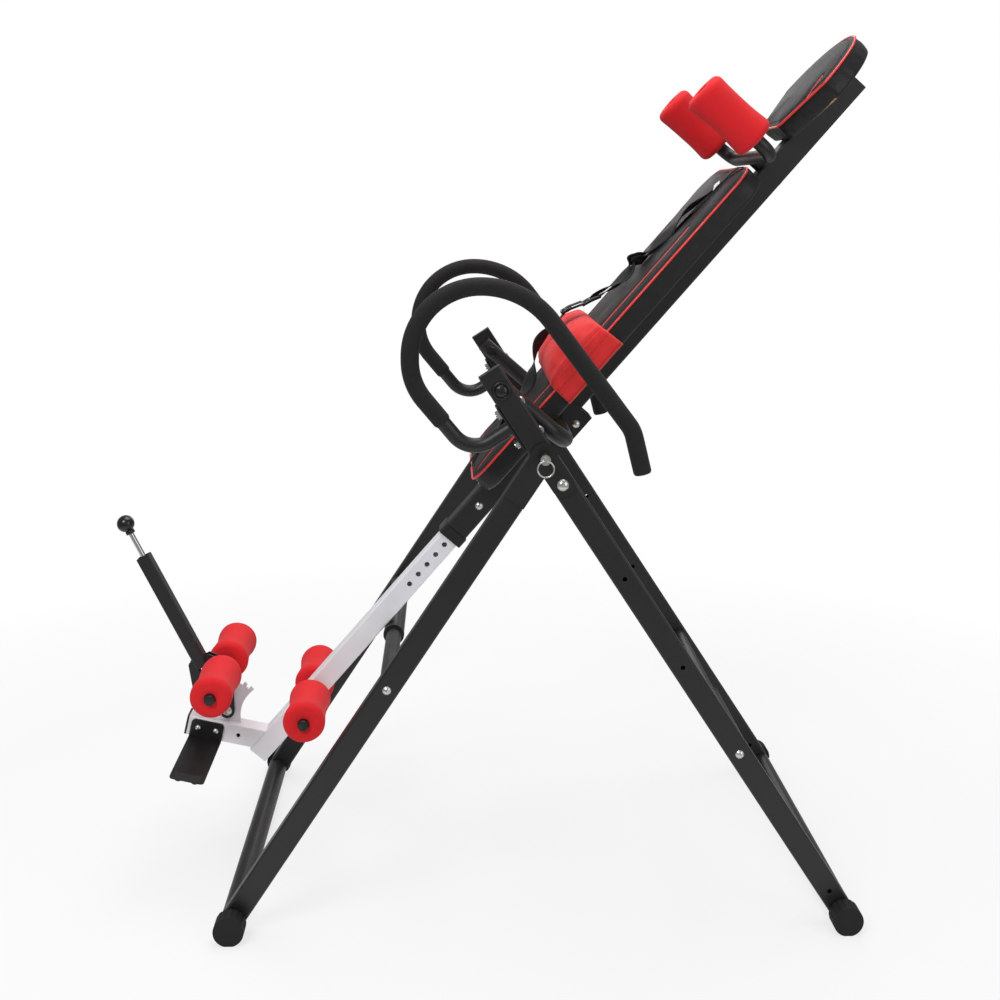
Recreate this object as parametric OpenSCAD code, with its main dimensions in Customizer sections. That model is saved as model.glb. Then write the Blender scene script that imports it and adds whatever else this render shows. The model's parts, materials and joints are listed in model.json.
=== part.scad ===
// Inversion table: a folding A-frame carries a padded bed on two side pivots.
// World frame: +Z up, +X towards the head end, Y across the machine, floor at Z = 0.
// The side at -Y is called left, the side at +Y right.

/* [Frame] */
// Distance between the centre planes of the left and right legs
leg_spacing = 600; // [580:1:680]
// Distance between the front and rear floor tubes, centre to centre
foot_spread = 1052; // [960:1:1120]
// Height of the point where front and rear legs cross
crossing_height = 829; // [800:1:880]
// Leg tube width, seen from the side
leg_width = 40; // [36:0.5:42]
// Leg tube depth, across the machine
leg_depth = 25; // [22:0.5:28]
// Wall of the leg tubes
leg_wall = 1.5; // [1.2:0.1:2.5]
// Corner radius of the leg tubes
leg_corner = 4; // [3:0.1:6]
// How far the rear leg rises above the crossing as the handlebar pillar
pillar_rise = 158; // [154:1:190]
// Height of the bed pivot above the crossing, along the pillar
pivot_rise = 130; // [126:1:134]
// Length of the pillar caps above the pillar
pillar_cap = 9; // [4:0.5:14]
// Distance of the fold hinge below the crossing, along the rear leg
hinge_drop = 57; // [55:0.5:62]
// Thickness of the hinge plates
hinge_plate = 3; // [2.5:0.1:4]
// Length of the hinge plates down the front leg
hinge_plate_reach = 92; // [80:1:120]
// Radius of the hinge plates round the lock pin
hinge_plate_r = 23; // [20:0.5:26]
// Outer diameter of the floor tubes
floor_tube_d = 38; // [34:0.5:39]
// Wall of the floor tubes
floor_tube_wall = 1.5; // [1.2:0.1:2.5]
// How far a floor tube runs out past the leg centre plane
floor_tube_out = 40; // [38:1:60]
// Outer diameter of the rubber foot caps
cap_d = 52; // [46:0.5:54]
// How far the underside of a foot cap is flattened
cap_flat = 1; // [0.5:0.1:2]
// Length of a foot cap over the floor tube
cap_grip = 25; // [18:1:25]
// Thickness of a foot cap's closed end
cap_end = 5; // [3:0.5:8]
// Width of a groove in a foot cap
cap_groove = 3; // [2:0.2:4]
// Number of grooves round a foot cap
cap_grooves = 16; // [4:4:24]

/* [Cross bars] */
// Outer diameter of the wide half of a cross bar
sleeve_d = 38; // [34:0.5:40]
// Outer diameter of the narrow half of a cross bar
rod_d = 28; // [24:0.5:30]
// Wall of both cross bar halves
bar_wall = 1.8; // [1.2:0.1:2.5]
// Length of the narrow half that is hidden in the wide half
bar_overlap = 110; // [60:1:160]
// Length of the collar at the end of the wide half
bar_collar = 9; // [6:1:16]
// Rise of that collar over the tube, which the boom also clears
collar_rise = 0.6; // [0.4:0.1:2]
// Distance of the rest bar's collar from the middle plane
rest_bar_joint = 34; // [30:1:60]
// Distance of the stop bar's collar from the middle plane
stop_bar_joint = 55; // [35:1:90]
// Distance from the crossing to the rest bar, down the front leg
rest_bar_drop = 475; // [472:1:482]
// Distance from the crossing to the stop bar, down the rear leg
stop_bar_drop = 617; // [612:1:625]
// Spacing of the stop bar holes in the rear leg
stop_hole_pitch = 184; // [170:1:188]
// Distance from the floor tube's centre to the lowest stop bar hole, along the rear leg
stop_hole_low = 46; // [42:1:60]

/* [Handlebars] */
// Diameter of the handlebar tube
handle_d = 25; // [22:0.5:28]
// Wall of the handlebar tube
handle_wall = 1.5; // [1.2:0.1:2.5]
// Foam thickness of the grip
grip_foam = 2.5; // [2:0.1:5]
// Height of the handlebar mounting plate above the crossing, along the pillar
handle_mount = 68; // [66:0.5:69]
// Spacing of the two handlebar bolts
handle_bolt_pitch = 58; // [52:0.5:60]
// Length of the handlebar mounting plate
handle_plate_length = 90; // [84:1:96]
// Thickness of the handlebar mounting plate
handle_plate = 3; // [2:0.5:5]
// Distance from the mounting plate to the lower corner of the handlebar
handle_throat = 78; // [74:1:84]
// How far the grip reaches in front of the crossing
handle_reach = 220; // [214:1:235]
// Height over the crossing where the grip turns upright
handle_low = 120; // [110:1:124]
// Height of the top of the handlebar over the crossing
handle_top = 278; // [277:1:310]
// Distance of the upper corner in front of the crossing
handle_crown = 32; // [20:1:33]
// Slope of the straight rear part of the handlebar
handle_slope = 53; // [50:0.5:54]
// Length of the straight rear part, corner to corner
handle_rear = 297; // [280:1:320]
// Slope of the free end of the handlebar
handle_end_slope = 76; // [65:0.5:80]
// Length of the free end
handle_end = 70; // [50:1:90]
// Radius of the lower bend
handle_low_bend = 45; // [35:1:50]
// Radius of the bend below the grip
handle_throat_bend = 100; // [80:1:110]
// Radius of the front sweep
handle_front_bend = 115; // [100:1:116]
// Radius of the top sweep
handle_top_bend = 144; // [100:1:144]
// Radius of the bend before the free end
handle_end_bend = 60; // [40:1:80]
// Bare length of tube between the lower corner and the grip
grip_start = 66; // [60:1:80]

/* [Bed] */
// Outer size of the square bed tube
bed_tube = 45; // [44:0.5:46]
// Wall of the bed tube
bed_wall = 2; // [1.5:0.1:2.2]
// Depth of the bed tube's centre line below the pivot
bed_depth = 150; // [148:0.5:153]
// Lower end of the bed tube, from the pivot along the bed
bed_low = 298; // [290:1:305]
// Upper end of the bed tube, from the pivot along the bed
bed_high = 826; // [800:1:830]
// Diameter of the pivot arm tube
arm_d = 30; // [26:0.5:32]
// Wall of the pivot arm tube
arm_wall = 2; // [1.5:0.1:3]
// Distance of the pivot arm from the inner face of the leg
arm_gap = 17.5; // [12:0.5:20]
// Centre line radius of the pivot arm bend
arm_bend = 52; // [40:1:70]
// How far the pivot arm runs on past the pivot
arm_overrun = 18; // [16:1:24]
// Thickness of the saddle plates that hold the bed tube
saddle_plate = 4; // [3:0.5:6]
// Length of the saddle along the bed
saddle_length = 67; // [50:1:90]
// How far the saddle reaches below the pivot line towards the feet
saddle_low = 20; // [16:0.5:30]
// Distance of the saddle bolt above the pivot line, along the bed
saddle_bolt = 19; // [12:0.5:24]
// Depth of the saddle's open space under the bed tube
saddle_drop = 22; // [18:1:26]
// Size of the plastic collar on the lower end of the bed tube
collar_size = 50; // [48:0.5:54]
// Length of the plastic collar
collar_length = 20; // [14:1:26]

/* [Pads] */
// Width of the back cushion
back_width = 300; // [280:2:310]
// Lower end of the back cushion, from the pivot along the bed
back_low = 170; // [150:1:190]
// Upper end of the back cushion, from the pivot along the bed
back_high = 563; // [540:1:566]
// Corner radius of the back cushion
back_corner = 44; // [20:1:60]
// Foam thickness over the boards
cushion = 34; // [28:0.5:36]
// Thickness of the plywood boards behind the cushions
board = 10; // [8:0.5:12]
// Inset of a board inside the edge of its cushion
board_inset = 6; // [4:0.5:12]
// Width of the headrest
head_width = 260; // [236:2:270]
// Lower end of the headrest, from the pivot along the bed
head_low = 664; // [655:1:680]
// Upper end of the headrest, from the pivot along the bed
head_high = 882; // [870:1:900]
// Width of the headrest's lower edge
head_foot = 130; // [110:1:150]
// Lower edge of the lumbar pad, from the pivot along the bed
lumbar_low = 50; // [40:1:60]
// Length of the lumbar pad along the bed
lumbar_length = 136; // [110:1:138]
// Rise of the lumbar pad over the back cushion
lumbar_rise = 40; // [30:1:45]
// Thickness of the lumbar pad's side flaps
lumbar_flap = 11; // [6:0.5:14]
// Corner radius of the lumbar pad
lumbar_corner = 30; // [20:1:32]
// Width of the webbing strap
strap_width = 25; // [20:1:30]
// Thickness of the webbing strap
strap_t = 2.4; // [1.5:0.1:3]
// Length of the strap's buckle
buckle_length = 40; // [32:1:48]
// Thickness of the strap's buckle
buckle_t = 9; // [6:0.5:11]
// Height of the strap over the cushion at the buckle
buckle_rise = 26; // [16:1:32]
// Distance along the bed in which the strap comes down to the cushion
strap_fall = 70; // [50:1:90]
// Sideways position of the strap at the top of the back cushion
strap_side = 80; // [40:1:90]

/* [Shoulder holders] */
// Diameter of the shoulder bar tube
shoulder_d = 25; // [22:0.5:26]
// Wall of the shoulder bar tube
shoulder_wall = 2; // [1.5:0.1:3]
// How far the shoulder bar ends inside its rollers
shoulder_sunk = 14; // [4:1:30]
// Position of the shoulder bar along the bed, from the pivot
shoulder_at = 602; // [600:1:612]
// Depth of the shoulder bar's cross part below the pivot
shoulder_depth = 104; // [102:0.5:108]
// Distance of each shoulder roller from the middle plane
shoulder_half = 156; // [145:1:165]
// Centre line radius of the shoulder bar bends
shoulder_bend = 32; // [28:1:38]
// Height of the outer end of the shoulder rollers over the pivot
shoulder_reach = 64; // [50:1:80]

/* [Rollers] */
// Diameter of a foam roller at its ends
roller_d = 76; // [72:0.5:78]
// Depth of the roller's waist
roller_waist = 4.5; // [0.5:0.5:8]
// Length of a foam roller
roller_length = 130; // [120:1:140]
// Edge rounding of a foam roller
roller_edge = 9; // [4:0.5:14]
// Distance of the ankle rollers from the middle plane
roller_in = 29; // [27:0.5:33]

/* [Boom and feet] */
// Outer size of the square boom
boom = 38; // [36:0.5:38.5]
// Wall of the boom and of the foot tube
boom_wall = 2; // [1.5:0.1:2.5]
// Lower end of the boom, from the pivot along the bed
boom_low = 860; // [855:1:872]
// Length of the boom hidden in the bed tube
boom_hidden = 200; // [160:1:220]
// Length of the boom pin's housing
housing_h = 18; // [16:1:24]
// Thickness of the boom pin's pull knob
boom_knob = 14; // [10:1:18]
// Travel of the boom pin between free and locked
boom_pin_travel = 8; // [6:0.5:10]
// Position of the boom's lock pin, from the pivot along the bed
boom_pin_at = 241; // [236:1:248]
// Spacing of the height holes in the boom
boom_pitch = 25; // [24:0.5:26]
// Clearance of the height holes and lock holes round their pins
hole_play = 0.4; // [0.3:0.05:0.6]
// Position of the foot tube on the boom, from the pivot along the bed
foot_at = 824; // [818:1:826]
// Angle between the boom's upper part and the foot tube
foot_angle = 118; // [112:0.5:122]
// Length of the foot tube from the boom's centre line
foot_length = 158; // [152:1:175]
// Position of the rear ankle rollers, from the pivot along the bed
ankle_at = 701; // [695:1:710]
// Diameter of the ankle axles
axle_d = 20; // [16:0.5:22]
// How far the ankle axles stick out of their rollers
axle_out = 6; // [3:0.5:12]
// Wall of the ankle axles
axle_wall = 2; // [1.5:0.1:3]
// Width of a foot platform along the foot tube
platform_width = 62; // [50:1:66]
// Distance of the platforms' outer edge from the end of the foot tube
platform_in = 6; // [2:0.5:10]
// Spacing of the two screws of a foot platform
platform_screws = 34; // [28:1:40]
// How far a foot platform reaches out from the middle plane
platform_reach = 198; // [150:1:220]
// Thickness of the foot platforms
platform_t = 3; // [2:0.5:4]
// Height of the raised outer edge of a foot platform
platform_lip = 14; // [8:1:20]
// Corner radius of the foot platforms
platform_corner = 8; // [6:0.5:8]
// Diameter of the spare hole through the foot tube
spare_hole_d = 8; // [6:0.5:10]
// Distance of the spare hole from the clamp pivot along the foot tube
spare_hole_in = 31; // [26:1:36]

/* [Ankle clamp] */
// Position of the clamp pivot along the foot tube
clamp_at = 92; // [90:1:96]
// Height of the clamp pivot over the foot tube's top face
clamp_over = 19; // [17:0.5:21]
// Distance from the clamp pivot to the front ankle axle
clamp_arm = 84; // [83:0.5:88]
// Direction of the front ankle axle from the clamp pivot, from the horizontal
clamp_angle = 92.6; // [88:0.1:96]
// Radius of the clamp plates round their pivot
clamp_eye = 14; // [12:0.5:15]
// Rim of the clamp plates round the front ankle axle
plate_rim = 6; // [4:0.5:9]
// Height of the clamp plates' outer corner over the clamp pivot
plate_corner = 46; // [40:1:56]
// How far the clamp plates lap over the lever tube
plate_lap = 18; // [14:1:24]
// Width of the clamp plates across the lever tube
plate_head = 46; // [40:1:50]
// Width of the clamp plates' limb beside their window
plate_limb = 13; // [11:0.5:14]
// Distance from the clamp pivot to the lower end of the plates' window
window_low = 64; // [60:1:72]
// Space between the two clamp plates
plate_spread = 11; // [10.5:0.5:13]
// Thickness of the clamp plates
clamp_plate = 3; // [2:0.5:4]
// Lean of the lever from the vertical at rest
lever_lean = 26.6; // [24:0.1:30]
// Outer size of the square lever tube
lever = 25; // [24:0.5:26]
// Wall of the lever tube
lever_wall = 1.8; // [1.2:0.1:2.5]
// Distance from the clamp pivot to the lower end of the lever tube
lever_low = 98; // [97:0.5:102]
// Distance from the clamp pivot to the upper end of the lever tube
lever_high = 338; // [300:1:360]
// Diameter of the release rod
release_d = 9.5; // [8:0.5:10]
// Bare length of the release rod above the lever tube
release_bare = 54; // [30:1:70]
// Pull of the release rod between locked and free
release_travel = 6; // [5:0.5:7]
// Diameter of the ball knob
knob_d = 32; // [28:1:38]
// Length of the ball knob's neck
knob_neck = 5; // [3:0.5:8]
// Diameter of the ball knob's neck
knob_neck_d = 17; // [14:0.5:20]
// Length of the release spring in the lever tube
release_spring_h = 60; // [40:1:80]
// Radius of the toothed quadrant round the clamp pivot
quadrant_r = 64; // [62:0.5:66]
// Thickness of the toothed quadrant
quadrant_t = 6; // [4:0.5:8]
// Angle between two notches of the quadrant
quadrant_pitch = 13.5; // [13:0.1:14]
// Extra angle of the quadrant's nose beyond its last notch
quadrant_land = 4.5; // [3:0.5:6]
// Number of notches in the quadrant
quadrant_notches = 6; // [5:1:6]
// Distance from the clamp pivot to the quadrant's toe along the foot tube
quadrant_toe = 30; // [26:1:34]
// Radius of the quadrant's hollow edge
quadrant_hollow = 66; // [50:1:100]

/* [Fasteners and fits] */
// Diameter of the pivot and hinge bolts
pin_d = 10; // [8:0.5:10.5]
// Diameter of the lock pins
lock_d = 9; // [8:0.5:10]
// Outer diameter of the lock pin barrels
barrel_d = 17; // [15:0.5:20]
// Length of the lock pin barrels
barrel_h = 16; // [12:1:20]
// Length of a lock pin's head
lock_head = 7; // [5:0.5:10]
// Thickness of the flat eye that holds the pull ring
eye_t = 5; // [4:0.5:6]
// Travel of the lock pins between free and locked
lock_travel = 7; // [5:0.5:8]
// Inner diameter of the pull rings
ring_d = 24; // [20:1:30]
// Wire diameter of the pull rings
ring_wire = 2.6; // [2:0.1:3]
// Diameter of the assembly screws
screw_d = 8; // [6:0.5:8]
// Radial running clearance of every turning fit
running = 0.05; // [0.02:0.01:0.1]
// Clearance between faces that move past each other
gap = 0.4; // [0.3:0.05:0.8]
// Clearance between a loose piece and its seat
seat = 0.2; // [0.1:0.05:0.3]

/* [Hidden] */
$fn = 48;

black = [0.06, 0.06, 0.065];
plastic = [0.04, 0.04, 0.04];
rubber = [0.1, 0.1, 0.1];
vinyl = [0.16, 0.16, 0.17];
red = [0.82, 0.08, 0.12];
zinc = [0.75, 0.75, 0.73];
white = [0.84, 0.84, 0.87];
foam = [0.08, 0.08, 0.08];
webbing = [0.09, 0.09, 0.09];
wood = [0.72, 0.56, 0.36];

through = 200;
lead = 1;
sweep_sides = 20;
bend_steps = 8;

small_corner = leg_corner / 2 + 1;

// Leg planes
leg_y = leg_spacing / 2;
leg_in = leg_y - leg_depth / 2;
leg_out = leg_y + leg_depth / 2;
foot_height = cap_d / 2 - cap_flat;
leg_lean = atan2(foot_spread / 2, crossing_height - foot_height);
leg_run = (crossing_height - foot_height) / cos(leg_lean);
cap_in = leg_y + floor_tube_out - cap_grip;
plate_in = leg_out + gap;
plate_out = plate_in + hinge_plate;

// Fasteners
head_d = 2 * pin_d;
head_h = 0.5 * pin_d;
screw_head_d = 1.9 * screw_d;
screw_head_h = 0.5 * screw_d;
small_screw_d = 0.75 * screw_d;

// Pivot and the slope at which the boom rests on the rest bar
pivot_x = -pivot_rise * sin(leg_lean);
pivot_z = crossing_height + pivot_rise * cos(leg_lean);
rest_x = -rest_bar_drop * sin(leg_lean);
rest_z = crossing_height - rest_bar_drop * cos(leg_lean);
rest_far = norm([rest_x - pivot_x, rest_z - pivot_z]);
rest_depth = bed_depth + boom / 2 + sleeve_d / 2 + collar_rise + gap;
bed_slope = atan2(rest_z - pivot_z, rest_x - pivot_x) + 180 - asin(rest_depth / rest_far);

// Positions in the bed frame: x along the bed to the head, z out of the padded face
arm_y = leg_in - arm_gap - arm_d / 2;
tube_top = -bed_depth + bed_tube / 2;
tube_under = -bed_depth - bed_tube / 2;
boom_top = -bed_depth + boom / 2;
cushion_back = tube_top + board;
cushion_face = cushion_back + cushion;
saddle_y = bed_tube / 2 + saddle_plate;
boom_high = boom_hidden - bed_low;
plug_rim = 4;
plug_depth = 12;
wrap_back = 1;
boom_holes = [-2 : 7];

// Ankle clamp
clamp_foot = boom / 2 + clamp_over;

// The origin lies on the floor under the middle of the whole machine
function bed_x(x, z) = pivot_x + x * cos(bed_slope) - z * sin(bed_slope);
function bed_z(x, z) = pivot_z + x * sin(bed_slope) + z * cos(bed_slope);
foot_tilt = foot_angle + bed_slope;
clamp_x = bed_x(-foot_at, -bed_depth) + clamp_at * cos(foot_tilt) + clamp_foot * sin(foot_tilt);
clamp_z = bed_z(-foot_at, -bed_depth) + clamp_at * sin(foot_tilt) - clamp_foot * cos(foot_tilt);
knob_r = lever_high + release_bare + knob_d / 2;
x_min = clamp_x - knob_r * sin(lever_lean) - knob_d / 2;
x_max = max(bed_x(bed_high + plug_rim, tube_under), bed_x(head_high, tube_top + wrap_back));
frame_x = -(x_min + x_max) / 2;

// Places
module machine() translate([frame_x, 0, 0]) children();
module mirrored() {
    children();
    mirror([0, 1, 0]) children();
}
module rear_axis() machine() translate([0, 0, crossing_height]) rotate([0, -leg_lean, 0]) children();
module front_axis() machine() translate([0, 0, crossing_height]) rotate([0, leg_lean, 0]) children();
module bed() machine() translate([pivot_x, 0, pivot_z]) rotate([0, -bed_slope, 0]) children();
module foot() bed() translate([-foot_at, 0, -bed_depth]) rotate([0, 90 - foot_angle, 0]) children();
module clamp() machine() translate([clamp_x, 0, clamp_z]) children();
module lever_axis() clamp() rotate([0, -lever_lean, 0]) children();

// Shapes
module rounded(w, h, r) {
    square([w - 2 * r, h], center = true);
    square([w, h - 2 * r], center = true);
    for (x = [-1, 1], y = [-1, 1])
        translate([x * (w / 2 - r), y * (h / 2 - r)]) circle(r = r);
}
module box_tube(w, h, r, wall) difference() {
    rounded(w, h, r);
    rounded(w - 2 * wall, h - 2 * wall, r - wall / 2);
}
module across(d, y0, y1) translate([0, y0, 0]) rotate([-90, 0, 0]) cylinder(d = d, h = y1 - y0);
module ring(d, bore, h) difference() {
    cylinder(d = d, h = h);
    translate([0, 0, -lead]) cylinder(d = bore, h = h + 2 * lead);
}
// Push-in plug, seated below z = 0
module plug(w, h, r, wall) translate([0, 0, -plug_depth]) linear_extrude(plug_depth + lead)
    rounded(w - 2 * wall - 2 * seat, h - 2 * wall - 2 * seat, r - wall / 2);
// Domed bolt: head above z = 0, shank below
module bolt(d, l, hd, hh) {
    translate([0, 0, -l]) cylinder(d = d, h = l);
    intersection() {
        cylinder(d = hd, h = hh);
        translate([0, 0, hh - dome(hd, hh)]) sphere(r = dome(hd, hh), $fn = 48);
    }
}
function dome(hd, hh) = (hd * hd / 4 + hh * hh) / (2 * hh);
// Hexagon nut with its seat at z = 0
module nut(d, h) difference() {
    cylinder(d = 1.9 * d, h = h, $fn = 6);
    translate([0, 0, -lead]) cylinder(d = d + 2 * running, h = h + 2 * lead);
}

// Bent tube in the XZ plane, swept along straight lines and arcs
function heading(a, b) = atan2(b[1] - a[1], b[0] - a[0]);
function wrap(t) = t > 180 ? t - 360 : t < -180 ? t + 360 : t;
function bend(p, i) = wrap(heading(p[i], p[i + 1]) - heading(p[i - 1], p[i]));
function stations(p, r) = concat(
    [[p[0], heading(p[0], p[1])]],
    [for (i = [1 : len(p) - 2], k = [0 : bend_steps])
        let (t = bend(p, i), h0 = heading(p[i - 1], p[i]), h = h0 + t * k / bend_steps, s = sign(t),
            start = p[i] - r[i] * tan(abs(t) / 2) * [cos(h0), sin(h0)])
        [start + s * r[i] * ([-sin(h0), cos(h0)] - [-sin(h), cos(h)]), h]],
    [[p[len(p) - 1], heading(p[len(p) - 2], p[len(p) - 1])]]);
module sweep(s, d) {
    n = sweep_sides;
    m = len(s);
    polyhedron(
        points = [for (q = s, k = [0 : n - 1])
            let (a = 360 * k / n, c = d / 2 * cos(a))
            [q[0][0] - sin(q[1]) * c, d / 2 * sin(a), q[0][1] + cos(q[1]) * c]],
        faces = concat(
            [[for (k = [0 : n - 1]) n - 1 - k]],
            [for (j = [0 : m - 2], k = [0 : n - 1])
                [j * n + k, j * n + (k + 1) % n, (j + 1) * n + (k + 1) % n, (j + 1) * n + k]],
            [[for (k = [0 : n - 1]) (m - 1) * n + k]]));
}

// Rear frame
module rear_leg() rear_axis() difference() {
    translate([0, leg_y, -leg_run + floor_tube_d / 4])
        linear_extrude(leg_run - floor_tube_d / 4 + pillar_rise)
            box_tube(leg_width, leg_depth, leg_corner, leg_wall);
    translate([0, 0, -leg_run]) across(floor_tube_d, leg_in - lead, leg_out + lead);
    translate([0, 0, pivot_rise]) across(pin_d, leg_in - lead, leg_out + lead);
    translate([0, 0, -hinge_drop]) across(pin_d, leg_in - lead, leg_out + lead);
    across(lock_d + 2 * hole_play, leg_y, leg_out + lead);
    for (z = [stop_bar_drop, stop_bar_drop - stop_hole_pitch, stop_bar_drop - 2 * stop_hole_pitch,
            leg_run - stop_hole_low])
        translate([0, 0, -z]) across(screw_d, leg_in - lead, leg_out + lead);
    for (z = [-1, 1])
        translate([-leg_width, leg_y, handle_mount + z * handle_bolt_pitch / 2])
            rotate([0, 90, 0]) cylinder(d = screw_d, h = 2 * leg_width);
}
module rear_leg_right() color(black) rear_leg();
module rear_leg_left() color(black) mirror([0, 1, 0]) rear_leg();

module floor_tube() difference() {
    across(floor_tube_d, -leg_y - floor_tube_out, leg_y + floor_tube_out);
    across(floor_tube_d - 2 * floor_tube_wall, -leg_spacing, leg_spacing);
}
module rear_floor_tube() color(black)
    machine() translate([foot_spread / 2, 0, foot_height]) floor_tube();

module foot_cap() difference() {
    across(cap_d, cap_in, leg_y + floor_tube_out + cap_end);
    across(floor_tube_d, cap_in - lead, leg_y + floor_tube_out);
    translate([-cap_d, 0, -cap_d - foot_height]) cube([2 * cap_d, leg_spacing, cap_d]);
    for (k = [0 : cap_grooves - 1])
        rotate([0, (k + 0.5) * 360 / cap_grooves, 0]) translate([cap_d / 2 + cap_groove / 8, 0, 0])
            across(cap_groove, cap_in - lead, leg_y + floor_tube_out);
}
module rear_foot_caps() color(rubber)
    machine() translate([foot_spread / 2, 0, foot_height]) mirrored() foot_cap();

module pillar_caps() color(plastic) mirrored() rear_axis() translate([0, leg_y, pillar_rise]) {
    linear_extrude(pillar_cap) rounded(leg_width, leg_depth, leg_corner);
    plug(leg_width, leg_depth, leg_corner, leg_wall);
}

// Handlebar route, corner by corner, from the crossing
bar_x = -handle_mount * sin(leg_lean) - (leg_width / 2 + handle_plate) * cos(leg_lean);
bar_z = handle_mount * cos(leg_lean) - (leg_width / 2 + handle_plate) * sin(leg_lean);
corner_x = bar_x - handle_throat * cos(leg_lean);
corner_z = bar_z - handle_throat * sin(leg_lean);
rear_x = -handle_crown + handle_rear * cos(handle_slope);
rear_z = handle_top - handle_rear * sin(handle_slope);
grip_end = handle_end + 2 * grip_foam;
throat_turn = atan2(handle_low - corner_z, -handle_reach - corner_x);
grip_path = [
    [corner_x + grip_start * cos(throat_turn), corner_z + grip_start * sin(throat_turn)],
    [-handle_reach, handle_low],
    [-handle_reach, handle_top],
    [-handle_crown, handle_top],
    [rear_x, rear_z],
    [rear_x + grip_end * cos(handle_end_slope), rear_z - grip_end * sin(handle_end_slope)]];
grip_bends = [0, handle_throat_bend, handle_front_bend, handle_top_bend, handle_end_bend, 0];
bar_path = concat([[bar_x, bar_z], [corner_x, corner_z]],
    [for (i = [1 : len(grip_path) - 2]) grip_path[i]],
    [[rear_x + handle_end * cos(handle_end_slope), rear_z - handle_end * sin(handle_end_slope)]]);
bar_bends = concat([0, handle_low_bend], [for (i = [1 : len(grip_path) - 1]) grip_bends[i]]);

// The bore runs out past both ends of the tube
bore_path = concat([bar_path[0] + lead * [cos(leg_lean), sin(leg_lean)]],
    [for (i = [1 : len(bar_path) - 2]) bar_path[i]],
    [bar_path[len(bar_path) - 1] + lead * [cos(handle_end_slope), -sin(handle_end_slope)]]);

module handlebar() machine() translate([0, leg_y, crossing_height]) difference() {
    sweep(stations(bar_path, bar_bends), handle_d);
    sweep(stations(bore_path, bar_bends), handle_d - 2 * handle_wall);
}
module handlebar_right() color(black) handlebar();
module handlebar_left() color(black) mirror([0, 1, 0]) handlebar();

module grip_foams() color(foam) mirrored()
    machine() translate([0, leg_y, crossing_height]) difference() {
        sweep(stations(grip_path, grip_bends), handle_d + 2 * grip_foam);
        sweep(stations(bar_path, bar_bends), handle_d + 2 * seat);
    }

module handle_plates() color(black) mirrored() rear_axis()
    translate([-leg_width / 2 - handle_plate, leg_y, handle_mount]) rotate([0, 90, 0]) difference() {
        linear_extrude(handle_plate) rounded(handle_plate_length, leg_depth, leg_corner);
        for (z = [-1, 1]) translate([z * handle_bolt_pitch / 2, 0, -lead])
            cylinder(d = screw_d, h = handle_plate + 2 * lead);
    }

// Six equal bolts: four hold the handlebars, two the stop bar
bolt_length = leg_width + handle_plate + screw_d;
module frame_bolts() color(zinc) mirrored() {
    rear_axis() for (z = [-1, 1]) translate([0, leg_y, handle_mount + z * handle_bolt_pitch / 2]) {
        translate([leg_width / 2, 0, 0]) rotate([0, 90, 0])
            bolt(screw_d, bolt_length, screw_head_d, screw_head_h);
        translate([-leg_width / 2 - handle_plate, 0, 0]) rotate([0, -90, 0])
            nut(screw_d, 0.8 * screw_d);
    }
    rear_axis() translate([0, leg_out, -stop_bar_drop]) rotate([-90, 0, 0])
        bolt(screw_d, bolt_length, screw_head_d, screw_head_h);
}

module pivot_bolts() color(plastic) mirrored() rear_axis() translate([0, leg_out, pivot_rise]) {
    rotate([-90, 0, 0]) bolt(pin_d, leg_out - pivot_end, head_d, head_h);
    translate([0, pivot_nut - leg_out, 0]) rotate([90, 0, 0]) nut(pin_d, 0.8 * pin_d);
}
bush_in = arm_y - arm_d / 2 - hinge_plate;
pivot_nut = bush_in - gap;
pivot_end = pivot_nut - pin_d;

module hinge_bolts() color(zinc) mirrored() rear_axis() translate([0, plate_out + gap, -hinge_drop]) {
    rotate([-90, 0, 0]) bolt(pin_d, plate_out + 2 * gap + pin_d - hinge_in, head_d, head_h);
    translate([0, hinge_in - gap - plate_out - gap, 0]) rotate([90, 0, 0]) nut(pin_d, 0.6 * pin_d);
}
hinge_in = leg_in - gap - hinge_plate;

// Cross bars, along Y, the wide half on the side given
module bar_sleeve(joint, end) difference() {
    union() {
        across(sleeve_d, joint, end);
        across(sleeve_d + 2 * collar_rise, joint, joint + bar_collar);
    }
    across(sleeve_d - 2 * bar_wall, joint + bar_collar, end - 2 * screw_d);
    across(rod_d + 2 * seat, joint - lead, joint + bar_collar + lead);
    across(screw_d, 0, end + lead);
}
module bar_rod(joint, end) difference() {
    across(rod_d, joint - bar_overlap, end);
    across(rod_d - 2 * bar_wall, joint - bar_overlap - lead, end - 2 * screw_d);
    across(screw_d, 0, end + lead);
}
module stop_bar_sleeve() color(black) mirror([0, 1, 0])
    rear_axis() translate([0, 0, -stop_bar_drop]) bar_sleeve(stop_bar_joint, leg_in);
module stop_bar_rod() color(black)
    rear_axis() translate([0, 0, -stop_bar_drop]) bar_rod(-stop_bar_joint, leg_in);
module rest_bar_sleeve() color(black)
    front_axis() translate([0, 0, -rest_bar_drop]) bar_sleeve(-rest_bar_joint, leg_in - gap);
module rest_bar_rod() color(black) mirror([0, 1, 0])
    front_axis() translate([0, 0, -rest_bar_drop]) bar_rod(rest_bar_joint, leg_in - gap);
module rest_bar_bolts() color(zinc) mirrored() front_axis()
    translate([0, leg_out + gap, -rest_bar_drop]) rotate([-90, 0, 0])
        bolt(screw_d, bolt_length, screw_head_d, screw_head_h);

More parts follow.
